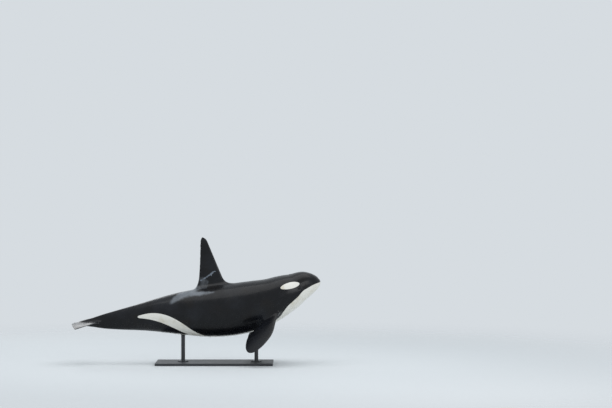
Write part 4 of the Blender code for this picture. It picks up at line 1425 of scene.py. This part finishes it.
@dataclass(frozen=True)
class WetHide:
    """Wet whale skin: smooth, rubbery and close-grained, under a film of water.

    The film gives it a sharp soft-edged shine over a duller black, and the rake marks of other whales' teeth
    show as thin pale lines in groups.
    """

    black: str = "#07080C"
    worn_black: str = "#14161B"
    brown_black: str = "#120F0D"
    grey: str = "#7E8389"
    dark_grey: str = "#62676D"
    streak: str = "#747D87"
    white: str = "#E6E4DC"
    stained_white: str = "#CFC8B6"
    moist_and_shade: str = "#231517"
    scar: str = "#44474D"

    def noise(
        self, tree: bpy.types.NodeTree, place: bpy.types.NodeSocket, millimetres: float, detail: float = 3.0
    ) -> bpy.types.NodeSocket:
        """Uneven grain of a size."""
        inputs = {"Vector": place, "Scale": per_metre(millimetres), "Detail": detail}
        return add_node(tree, "ShaderNodeTexNoise", inputs).outputs["Fac"]

    def ramp(
        self, tree: bpy.types.NodeTree, value: bpy.types.NodeSocket, low: float, high: float,
        bottom: float = 0.0, top: float = 1.0,
    ) -> bpy.types.NodeSocket:
        """A smooth step of a value between two levels."""
        inputs = {"Value": value, "From Min": low, "From Max": high, "To Min": bottom, "To Max": top}
        return add_node(tree, "ShaderNodeMapRange", inputs, interpolation_type="SMOOTHSTEP").outputs["Result"]

    def patch(
        self, tree: bpy.types.NodeTree, name: str, soft: float, ragged: float, grain: bpy.types.NodeSocket
    ) -> bpy.types.NodeSocket:
        """The inside of a marking, with an edge as soft and ragged as given in metres."""
        inside = add_node(tree, "ShaderNodeAttribute", attribute_name=name).outputs["Fac"]
        moved = add_node(tree, "ShaderNodeMath", {0: grain, 1: 2 * ragged, 2: inside}, operation="MULTIPLY_ADD")
        return self.ramp(tree, moved.outputs[0], ragged - soft, ragged + soft)

    def mix(
        self, tree: bpy.types.NodeTree, share: bpy.types.NodeSocket | float, first: object, second: object
    ) -> bpy.types.NodeSocket:
        """A blend of two colours."""
        node = add_node(tree, "ShaderNodeMix", {0: share, 6: first, 7: second}, data_type="RGBA")
        return node.outputs[2]

    def rakes(self, tree: bpy.types.NodeTree, hide: bpy.types.NodeSocket, turn: float) -> bpy.types.NodeSocket:
        """Groups of thin parallel scratches a tooth's spacing apart, 28 mm, that lie in the hide one way."""
        inputs = {"Vector": hide, "Rotation": (0.0, 0.0, math.radians(turn)), "Location": (turn, turn, 0.0)}
        turned = add_node(tree, "ShaderNodeMapping", inputs).outputs[0]
        inputs = {"Vector": turned, "Scale": 11.2, "Distortion": 1.2, "Detail Scale": 0.25}
        bands = add_node(tree, "ShaderNodeTexWave", inputs, bands_direction="Y").outputs["Fac"]
        inputs = {"Vector": turned, "Scale": (2.6, 9.0, 0.0)}
        stretched = add_node(tree, "ShaderNodeMapping", inputs).outputs[0]
        groups = add_node(tree, "ShaderNodeTexNoise", {"Vector": stretched, "Scale": 1.0, "Detail": 1.0})
        inputs = {0: self.ramp(tree, bands, 0.95, 1.0), 1: self.ramp(tree, groups.outputs["Fac"], 0.61, 0.72)}
        return add_node(tree, "ShaderNodeMath", inputs, operation="MULTIPLY").outputs[0]

    def build(self) -> bpy.types.Material:
        """Makes the material."""
        material, tree, shader = new_finish("orca_hide_wet")
        place = add_node(tree, "ShaderNodeTexCoord").outputs["Object"]
        broad, middle, fine = (self.noise(tree, place, size) for size in (700.0, 110.0, 24.0))
        black = self.mix(tree, self.ramp(tree, broad, 0.42, 0.66), linear(self.black), linear(self.worn_black))
        brown = self.ramp(tree, self.noise(tree, place, 420.0, 5.0), 0.50, 0.72, 0.0, 0.7)
        black = self.mix(tree, brown, black, linear(self.brown_black))
        unrolled = add_node(tree, "ShaderNodeAttribute", attribute_name="unrolled").outputs["Vector"]
        rakes = [self.rakes(tree, unrolled, turn) for turn in (12.0, -33.0)]
        scars = add_node(tree, "ShaderNodeMath", {0: rakes[0], 1: rakes[1]}, operation="MAXIMUM").outputs[0]
        counted = add_node(tree, "ShaderNodeSeparateXYZ", {0: unrolled}).outputs["Z"]
        sound = self.ramp(tree, counted, 0.98, 1.0)
        scars = add_node(tree, "ShaderNodeMath", {0: scars, 1: sound}, operation="MULTIPLY").outputs[0]
        faint = add_node(tree, "ShaderNodeMath", {0: scars, 1: 0.35}, operation="MULTIPLY").outputs[0]
        black = self.mix(tree, faint, black, linear(self.scar))

        saddle = self.patch(tree, "saddle", 0.045, 0.045, middle)
        smoke = self.ramp(tree, self.noise(tree, place, 300.0, 4.0), 0.30, 0.70)
        cloudy = self.mix(tree, smoke, linear(self.dark_grey), linear(self.grey))
        streaky = add_node(tree, "ShaderNodeMath", {0: saddle, 1: 0.90}, operation="MULTIPLY").outputs[0]
        hide = self.mix(tree, streaky, black, cloudy)
        # A pale streak across the fin, broken up by the fine grain.
        streak = self.patch(tree, "streak", 0.009, 0.008, fine)
        streak_grain = add_node(tree, "ShaderNodeMath", {0: streak, 1: fine}, operation="MULTIPLY").outputs[0]
        hide = self.mix(tree, self.ramp(tree, streak_grain, 0.05, 0.5), hide, linear(self.streak))

        stains = self.ramp(tree, self.noise(tree, place, 260.0, 6.0), 0.48, 0.74, 0.0, 0.85)
        white = self.mix(tree, stains, linear(self.white), linear(self.stained_white))
        white = self.mix(tree, faint, white, linear(self.grey))
        light = self.patch(tree, "white", 0.0035, 0.0025, fine)
        hide = self.mix(tree, light, hide, white)
        # The insides of the lips, lids and blowhole get a dark wet red-black: partly their own colour, partly
        # painted shade in the slits.
        inner = add_node(tree, "ShaderNodeAttribute", attribute_name="inner").outputs["Fac"]
        hide = self.mix(tree, self.ramp(tree, inner, 0.25, 0.8), hide, linear(self.moist_and_shade))

        pores = self.noise(tree, place, 9.0, 2.0)
        swell = add_node(tree, "ShaderNodeMath", {0: scars, 1: -0.6, 2: pores}, operation="MULTIPLY_ADD").outputs[0]
        # Water runs off in thin uneven sheets, which break up the shine.
        sheets = self.noise(tree, place, 60.0, 2.0)
        film = add_node(tree, "ShaderNodeBump", {"Height": sheets, "Strength": 0.18, "Distance": 0.003}).outputs[0]
        inputs = {"Height": swell, "Strength": 0.03, "Distance": 0.004, "Normal": film}
        grain = add_node(tree, "ShaderNodeBump", inputs).outputs[0]
        rough = self.ramp(tree, middle, 0.3, 0.7, 0.22, 0.34)
        for socket, value in (("Base Color", hide), ("Roughness", rough), ("Normal", grain)):
            tree.links.new(value, shader.inputs[socket])
        shader.inputs["Coat Weight"].default_value = 0.20
        shader.inputs["Coat Roughness"].default_value = 0.10
        shader.inputs["Coat IOR"].default_value = 1.33
        shader.inputs["IOR"].default_value = 1.31
        return material


@dataclass(frozen=True)
class WetEye:
    """A whale's eye: a dark brown iris round a wide dark pupil, under a clear cornea that shines like glass."""

    pupil: str = "#06070A"
    iris: str = "#2B1A0E"
    iris_edge: str = "#0F0A08"
    ball: str = "#2A2123"
    pupil_half: tuple[float, float] = (0.0084, 0.0060)
    iris_radius: float = 0.0178

    def build(self) -> bpy.types.Material:
        """Makes the material. The attribute gaze is a point's place from the line of sight, in metres."""
        material, tree, shader = new_finish("eye_cornea")
        gaze = add_node(tree, "ShaderNodeAttribute", attribute_name="gaze").outputs["Vector"]
        wide, high = self.pupil_half
        inputs = {0: gaze, 1: (1 / wide, 1 / high, 0.0)}
        oval = add_node(tree, "ShaderNodeVectorMath", inputs, operation="MULTIPLY").outputs[0]
        pupil = add_node(tree, "ShaderNodeVectorMath", {0: oval}, operation="LENGTH").outputs["Value"]
        inputs = {0: gaze, 1: (1 / self.iris_radius, 1 / self.iris_radius, 0.0)}
        round_place = add_node(tree, "ShaderNodeVectorMath", inputs, operation="MULTIPLY").outputs[0]
        iris = add_node(tree, "ShaderNodeVectorMath", {0: round_place}, operation="LENGTH").outputs["Value"]
        spokes = add_node(tree, "ShaderNodeTexNoise", {"Vector": gaze, "Scale": per_metre(1.6), "Detail": 3.0})
        flecks = add_node(tree, "ShaderNodeMapRange", {"Value": spokes.outputs["Fac"], "From Min": 0.3, "From Max": 0.7})
        inputs = {0: flecks.outputs[0], 6: linear(self.iris_edge), 7: linear(self.iris)}
        brown = add_node(tree, "ShaderNodeMix", inputs, data_type="RGBA").outputs[2]
        colours = brown
        for value, low, high, colour, outside in (
            (iris, 0.82, 1.0, self.iris_edge, True),
            (iris, 1.0, 1.25, self.ball, True),
            (pupil, 0.9, 1.06, self.pupil, False),
        ):
            inputs = {"Value": value, "From Min": low, "From Max": high}
            step = add_node(tree, "ShaderNodeMapRange", inputs, interpolation_type="SMOOTHSTEP").outputs[0]
            first, second = (colours, linear(colour)) if outside else (linear(colour), colours)
            colours = add_node(tree, "ShaderNodeMix", {0: step, 6: first, 7: second}, data_type="RGBA").outputs[2]
        tree.links.new(colours, shader.inputs["Base Color"])
        shader.inputs["Roughness"].default_value = 0.05
        shader.inputs["IOR"].default_value = 1.38
        shader.inputs["Coat Weight"].default_value = 0.6
        shader.inputs["Coat Roughness"].default_value = 0.02
        return material


@dataclass(frozen=True)
class Coated:
    """A plain finish: a colour that varies a little, a roughness that varies, and a fine bump.

    Powder coat is baked paint with the faint orange peel that gives a satin sheen. Moulded rubber is dull and
    close-grained. A zinc-plated screw is bright metal, clouded by handling.
    """

    name: str
    colour: str
    marked: str
    roughness: tuple[float, float]
    grain: float
    bump: float
    metallic: float = 0.0

    def build(self) -> bpy.types.Material:
        """Makes the material."""
        material, tree, shader = new_finish(self.name)
        place = add_node(tree, "ShaderNodeTexCoord").outputs["Object"]
        inputs = {"Vector": place, "Scale": per_metre(180.0), "Detail": 6.0}
        clouds = add_node(tree, "ShaderNodeTexNoise", inputs).outputs["Fac"]
        inputs = {"Vector": place, "Scale": per_metre(self.grain), "Detail": 2.0}
        grain = add_node(tree, "ShaderNodeTexNoise", inputs).outputs["Fac"]
        inputs = {"Value": clouds, "From Min": 0.35, "From Max": 0.70}
        share = add_node(tree, "ShaderNodeMapRange", inputs, interpolation_type="SMOOTHSTEP").outputs[0]
        inputs = {0: share, 6: linear(self.colour), 7: linear(self.marked)}
        colour = add_node(tree, "ShaderNodeMix", inputs, data_type="RGBA").outputs[2]
        inputs = {"Value": clouds, "From Min": 0.3, "From Max": 0.7}
        inputs |= {"To Min": self.roughness[0], "To Max": self.roughness[1]}
        rough = add_node(tree, "ShaderNodeMapRange", inputs).outputs[0]
        inputs = {"Height": grain, "Strength": self.bump, "Distance": 0.0005}
        bump = add_node(tree, "ShaderNodeBump", inputs).outputs[0]
        for socket, value in (("Base Color", colour), ("Roughness", rough), ("Normal", bump)):
            tree.links.new(value, shader.inputs[socket])
        shader.inputs["Metallic"].default_value = self.metallic
        return material


POWDER_COAT = Coated("powder_coated_steel", "#2A2C2F", "#303236", (0.42, 0.50), 2.2, 0.35)
RUBBER = Coated("moulded_rubber", "#121212", "#1A1A1A", (0.62, 0.72), 1.2, 0.30)
ZINC = Coated("zinc_plated_screw", "#B4B8BC", "#9EA3A8", (0.24, 0.34), 1.0, 0.10, 1.0)


class Part(Enum):
    """What is selected in edit mode."""

    VERT = "verts"
    EDGE = "edges"
    FACE = "faces"


def choose(piece: bpy.types.Object, part: Part, test: Callable[[Vector], bool]) -> None:
    """In edit mode, selects the vertices, edges or faces whose middle passes a test."""
    bpy.ops.mesh.select_mode(type=part.name)
    mesh = bmesh.from_edit_mesh(piece.data)
    for group in (mesh.verts, mesh.edges, mesh.faces):
        for element in group:
            element.select_set(False)
    for element in getattr(mesh, part.value):
        verts = [element] if part is Part.VERT else list(element.verts)
        middle = sum((v.co for v in verts), Vector()) / len(verts)
        if test(middle):
            element.select_set(True)
    mesh.select_flush_mode()
    bmesh.update_edit_mesh(piece.data)


def settle_piece(piece: bpy.types.Object, smooth_below: float = 30.0) -> None:
    """Puts a finished piece's place into its mesh, turns its faces outwards and shades it."""
    select(piece)
    bpy.ops.object.transform_apply(location=True, rotation=True, scale=True)
    bpy.ops.object.mode_set(mode="EDIT")
    bpy.ops.mesh.select_all(action="SELECT")
    bpy.ops.mesh.remove_doubles(threshold=0.00001)
    bpy.ops.mesh.normals_make_consistent(inside=False)
    bpy.ops.object.mode_set(mode="OBJECT")
    bpy.ops.object.shade_smooth_by_angle(angle=math.radians(smooth_below))


def hand_over(piece: bpy.types.Object, finish: bpy.types.Material, slot: str, *nodes: str) -> None:
    """Gives a piece its finish, its body and the nodes that it replaces, and reports it."""
    piece.data.materials.clear()
    piece.data.materials.append(finish)
    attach(piece, "root")
    if nodes:
        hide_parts(*nodes)
    faces = sum(len(p.vertices) - 2 for p in piece.data.polygons)
    log.info("%s: %d triangles, %s", piece.name, faces, finish.name)


@dataclass
class Eye:
    """A ball with a clear bulge over the iris, looking a little forward and down."""

    node: str
    radius: float = 0.028
    cornea: float = 0.0165
    bulge: float = 0.0016
    forward: float = 9.0
    down: float = 5.0
    segments: int = 64
    rings: int = 48

    def build(self, body: Body, eyelids: Eyelids) -> bpy.types.Object:
        """Turns the ball about its line of sight, and swells the cornea."""
        select_none()
        size = self.radius
        bpy.ops.mesh.primitive_uv_sphere_add(segments=self.segments, ring_count=self.rings, radius=size)
        ball = bpy.context.object
        ball.name = ball.data.name = self.node + "_ball"
        bpy.ops.object.mode_set(mode="EDIT")
        reach = math.sqrt(size**2 - self.cornea**2)
        rise = self.bulge / (size - reach)
        mesh = bmesh.from_edit_mesh(ball.data)
        for vertex in mesh.verts:
            if vertex.co.z > reach:
                vertex.co.z += rise * (vertex.co.z - reach) * smooth_step((vertex.co.z - reach) / (size - reach))
        bmesh.update_edit_mesh(ball.data)
        bpy.ops.object.mode_set(mode="OBJECT")
        places = read_vectors(ball.data.vertices, "co")
        gaze = ball.data.attributes.new("gaze", "FLOAT_VECTOR", "POINT")
        places[places[:, 2] < 0, 0] = size
        gaze.data.foreach_set("vector", places.astype(np.float32).ravel())

        centre, axes = eyelids.axes(body)
        ahead, up, out = (Vector(row) for row in axes)
        sight = (out + ahead * math.tan(math.radians(self.forward)) - up * math.tan(math.radians(self.down))).normalized()
        across = up.cross(sight).normalized()
        turn = Matrix((across, sight.cross(across), sight)).transposed().to_4x4()
        place = Matrix.Translation(centre) @ turn
        if self.node.endswith("left"):
            place = Matrix.Diagonal((1.0, -1.0, 1.0, 1.0)) @ place
        ball.matrix_world = place
        settle_piece(ball, 60.0)
        return ball


def select_none() -> None:
    """Deselects everything, before a primitive is added."""
    bpy.ops.object.select_all(action="DESELECT")


@dataclass
class Rod:
    """A rod of the stand with its round foot, four screws and the rubber ring where it enters the belly."""

    node: str
    share: float
    radius: float = 0.050
    foot_radius: float = 0.140
    foot_height: float = 0.020
    fillet: float = 0.012
    rim: float = 0.004
    sides: int = 96
    screw_circle: float = 0.108
    ring_thickness: float = 0.008

    def build(self) -> bpy.types.Object:
        """Turns the rod up from its foot."""
        low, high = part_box(self.node)
        middle = (low + high) / 2
        select_none()
        bpy.ops.mesh.primitive_circle_add(
            vertices=self.sides, radius=self.foot_radius, fill_type="NGON", location=(middle.x, middle.y, low.z)
        )
        rod = bpy.context.object
        rod.name = rod.data.name = self.node + "_turned"
        bpy.ops.object.mode_set(mode="EDIT")
        bpy.ops.mesh.select_all(action="SELECT")
        bpy.ops.mesh.extrude_region_move(TRANSFORM_OT_translate={"value": (0.0, 0.0, self.foot_height)})
        bpy.ops.mesh.inset(thickness=self.foot_radius - self.radius)
        rise = high.z - low.z - self.foot_height
        bpy.ops.mesh.extrude_region_move(TRANSFORM_OT_translate={"value": (0.0, 0.0, rise)})
        top = self.foot_height
        choose(rod, Part.EDGE, lambda m: abs(m.z - top) < 1e-4 and abs(m.xy.length - self.radius) < 1e-3)
        bpy.ops.mesh.bevel(offset=self.fillet, segments=8, affect="EDGES")
        choose(rod, Part.EDGE, lambda m: abs(m.z - top) < 1e-4 and abs(m.xy.length - self.foot_radius) < 1e-3)
        bpy.ops.mesh.bevel(offset=self.rim, segments=4, affect="EDGES")
        bpy.ops.object.mode_set(mode="OBJECT")
        settle_piece(rod)
        return rod

    def screws(self) -> list[bpy.types.Object]:
        """Four socket screws on the foot, from one."""
        low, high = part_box(self.node)
        middle, top = (low + high) / 2, low.z + self.foot_height
        made = []
        for number in range(4):
            turn = math.radians(45 + 90 * number)
            place = (
                middle.x + self.screw_circle * math.cos(turn),
                middle.y + self.screw_circle * math.sin(turn),
                top,
            )
            if not made:
                screw = self.socket_screw()
            else:
                screw = made[0].copy()
                screw.data = made[0].data.copy()
                bpy.context.scene.collection.objects.link(screw)
            screw.name = screw.data.name = f"{self.node}_screw_{number + 1}"
            made.append(screw)
            screw["place"] = place
        for screw in made:
            screw.location = screw["place"]
            del screw["place"]
            settle_piece(screw)
        return made

    def socket_screw(self) -> bpy.types.Object:
        """A screw's head with a six-sided socket, standing at the origin."""
        head, height, socket, deep = 0.011, 0.009, 0.0058, 0.006
        select_none()
        bpy.ops.mesh.primitive_circle_add(vertices=36, radius=head, fill_type="NGON")
        screw = bpy.context.object
        bpy.ops.object.mode_set(mode="EDIT")
        bpy.ops.mesh.select_all(action="SELECT")
        bpy.ops.mesh.extrude_region_move(TRANSFORM_OT_translate={"value": (0.0, 0.0, height)})
        bpy.ops.mesh.inset(thickness=head - socket)
        mesh = bmesh.from_edit_mesh(screw.data)
        for vertex in mesh.verts:
            if vertex.select:
                turn = math.atan2(vertex.co.y, vertex.co.x) % math.radians(60) - math.radians(30)
                vertex.co.xy = vertex.co.xy.normalized() * socket * math.cos(math.radians(30)) / math.cos(turn)
        bmesh.update_edit_mesh(screw.data)
        bpy.ops.mesh.extrude_region_move(TRANSFORM_OT_translate={"value": (0.0, 0.0, -deep)})
        choose(screw, Part.EDGE, lambda m: abs(m.z - height) < 1e-5 and abs(m.xy.length - head) < 1e-3)
        bpy.ops.mesh.bevel(offset=0.0012, segments=3, affect="EDGES")
        bpy.ops.object.mode_set(mode="OBJECT")
        return screw

    def collar(self, body: Body) -> bpy.types.Object:
        """The rubber ring, tilted to lie against the belly."""
        shares = self.share + np.array((-0.005, 0.0, 0.005))
        ahead, here, behind = body.skin(shares, np.full(3, math.pi))
        tilt = math.atan2(ahead[2] - behind[2], ahead[0] - behind[0])
        select_none()
        bpy.ops.mesh.primitive_torus_add(
            major_segments=96,
            minor_segments=20,
            major_radius=self.radius + self.ring_thickness * 0.7,
            minor_radius=self.ring_thickness,
            location=here - np.array((0.0, 0.0, 0.002)),
            rotation=(0.0, -tilt, 0.0),
        )
        ring = bpy.context.object
        ring.name = ring.data.name = self.node + "_collar"
        ring.scale = (1 / math.cos(tilt), 1.0, 1.0)
        settle_piece(ring, 60.0)
        return ring


@dataclass
class Studio:
    """A pale floor that fades into an even pale light, with large soft lamps, and the camera."""

    floor_colour: str = "#DCE0E2"
    air_colour: str = "#DBE1E6"
    air_strength: float = 0.95
    floor_radius: float = 600.0
    fade: tuple[float, float] = (3.5, 18.0)

    def camera(self) -> None:
        """The photograph's viewing angle: level with the animal's right side, from far off."""
        data = bpy.data.cameras.new("camera")
        data.lens = 135.0
        data.sensor_width = 36.0
        data.clip_end = 2000.0
        camera = bpy.data.objects.new("camera", data)
        bpy.context.scene.collection.objects.link(camera)
        camera.location = (2.342, -58.8, 5.15)
        camera.rotation_euler = (math.radians(90 - 1.02), 0.0, 0.0)
        bpy.context.scene.camera = camera

    def air(self) -> None:
        """The even light from all round."""
        world = bpy.data.worlds.new("studio_air")
        bpy.context.scene.world = world
        world.use_nodes = True
        back = world.node_tree.nodes["Background"]
        back.inputs["Color"].default_value = linear(self.air_colour)
        back.inputs["Strength"].default_value = self.air_strength
        # The plain transform keeps the hide as black, and its white as pale, as on the photograph.
        bpy.context.scene.view_settings.view_transform = "Standard"

    def floor(self) -> None:
        """The floor, which thins out into the air far from the object."""
        select_none()
        bpy.ops.mesh.primitive_circle_add(vertices=128, radius=self.floor_radius, fill_type="NGON")
        floor = bpy.context.object
        floor.name = "studio_floor"
        material, tree, shader = new_finish("studio_vinyl")
        place = add_node(tree, "ShaderNodeTexCoord").outputs["Object"]
        away = add_node(tree, "ShaderNodeVectorMath", {0: place}, operation="LENGTH").outputs["Value"]
        inputs = {"Value": away, "From Min": self.fade[0], "From Max": self.fade[1]}
        thin = add_node(tree, "ShaderNodeMapRange", inputs, interpolation_type="SMOOTHERSTEP").outputs[0]
        clear = add_node(tree, "ShaderNodeBsdfTransparent").outputs[0]
        inputs = {0: thin, 1: shader.outputs[0], 2: clear}
        both = add_node(tree, "ShaderNodeMixShader", inputs).outputs[0]
        tree.links.new(both, tree.nodes["Material Output"].inputs["Surface"])
        shader.inputs["Base Color"].default_value = linear(self.floor_colour)
        shader.inputs["Roughness"].default_value = 0.7
        floor.data.materials.append(material)
        floor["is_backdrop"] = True

    def lamp(self, name: str, place: Sequence[float], aim: Sequence[float], size: tuple[float, float], power: float) -> None:
        """A large soft lamp."""
        data = bpy.data.lights.new(name, "AREA")
        data.shape = "RECTANGLE"
        data.size, data.size_y = size
        data.energy = power
        lamp = bpy.data.objects.new(name, data)
        bpy.context.scene.collection.objects.link(lamp)
        lamp.location = place
        lamp.rotation_euler = (Vector(aim) - Vector(place)).to_track_quat("-Z", "Y").to_euler()

    def build(self) -> None:
        """Sets up all of it."""
        self.air()
        self.floor()
        self.lamp("overhead", (0.5, -1.0, 10.0), (0.0, 0.0, 1.4), (12.0, 7.0), 340.0)
        self.lamp("side", (9.0, -11.0, 6.5), (0.5, 0.0, 1.5), (7.0, 5.0), 280.0)
        self.lamp("behind", (-7.0, 10.0, 7.0), (0.0, 0.0, 1.6), (8.0, 5.0), 160.0)


FLESH = (
    "head",
    "lower_jaw",
    "chest",
    "trunk",
    "tail_stock",
    "flukes",
    "dorsal_fin",
    "flipper_left",
    "flipper_right",
)


def corners() -> list[list[float]]:
    """The present box of the whole object, as plain lists."""
    return [[float(value) for value in corner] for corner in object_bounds()]


def main() -> None:
    """Builds the studio, the orca and its stand, and reports each piece."""
    logging.basicConfig(level=logging.INFO, format="%(message)s")
    studio = Studio()
    studio.camera()

    body = Body()
    dorsal, flipper = DorsalFin(), Flipper()
    mouth, eyelids = Mouth(body), Eyelids()
    features = (mouth, Blowhole(body), HeadForm(body), Belly(body))
    skin = Hide(body, Loft(body, dorsal, flipper), features, eyelids).build()
    Markings(body, mouth, dorsal).mark(skin.data)
    hand_over(skin, WetHide().build(), "black_skin", *FLESH)

    wet = WetEye().build()
    for node in ("eye_right", "eye_left"):
        hand_over(Eye(node).build(body, eyelids), wet, "eye", node)

    steel, rubber, zinc = POWDER_COAT.build(), RUBBER.build(), ZINC.build()
    for rod in (Rod("stand_rod_front", 0.300), Rod("stand_rod_rear", 0.575)):
        hand_over(rod.build(), steel, "stand_steel", rod.node)
        hand_over(rod.collar(body), rubber, "stand_steel")
        for screw in rod.screws():
            hand_over(screw, zinc, "stand_steel")
    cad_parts["stand_base"].material_slots[0].material = steel
    log.info("stand_base: %s", steel.name)
    studio.build()


if __name__ == "__main__":
    main()
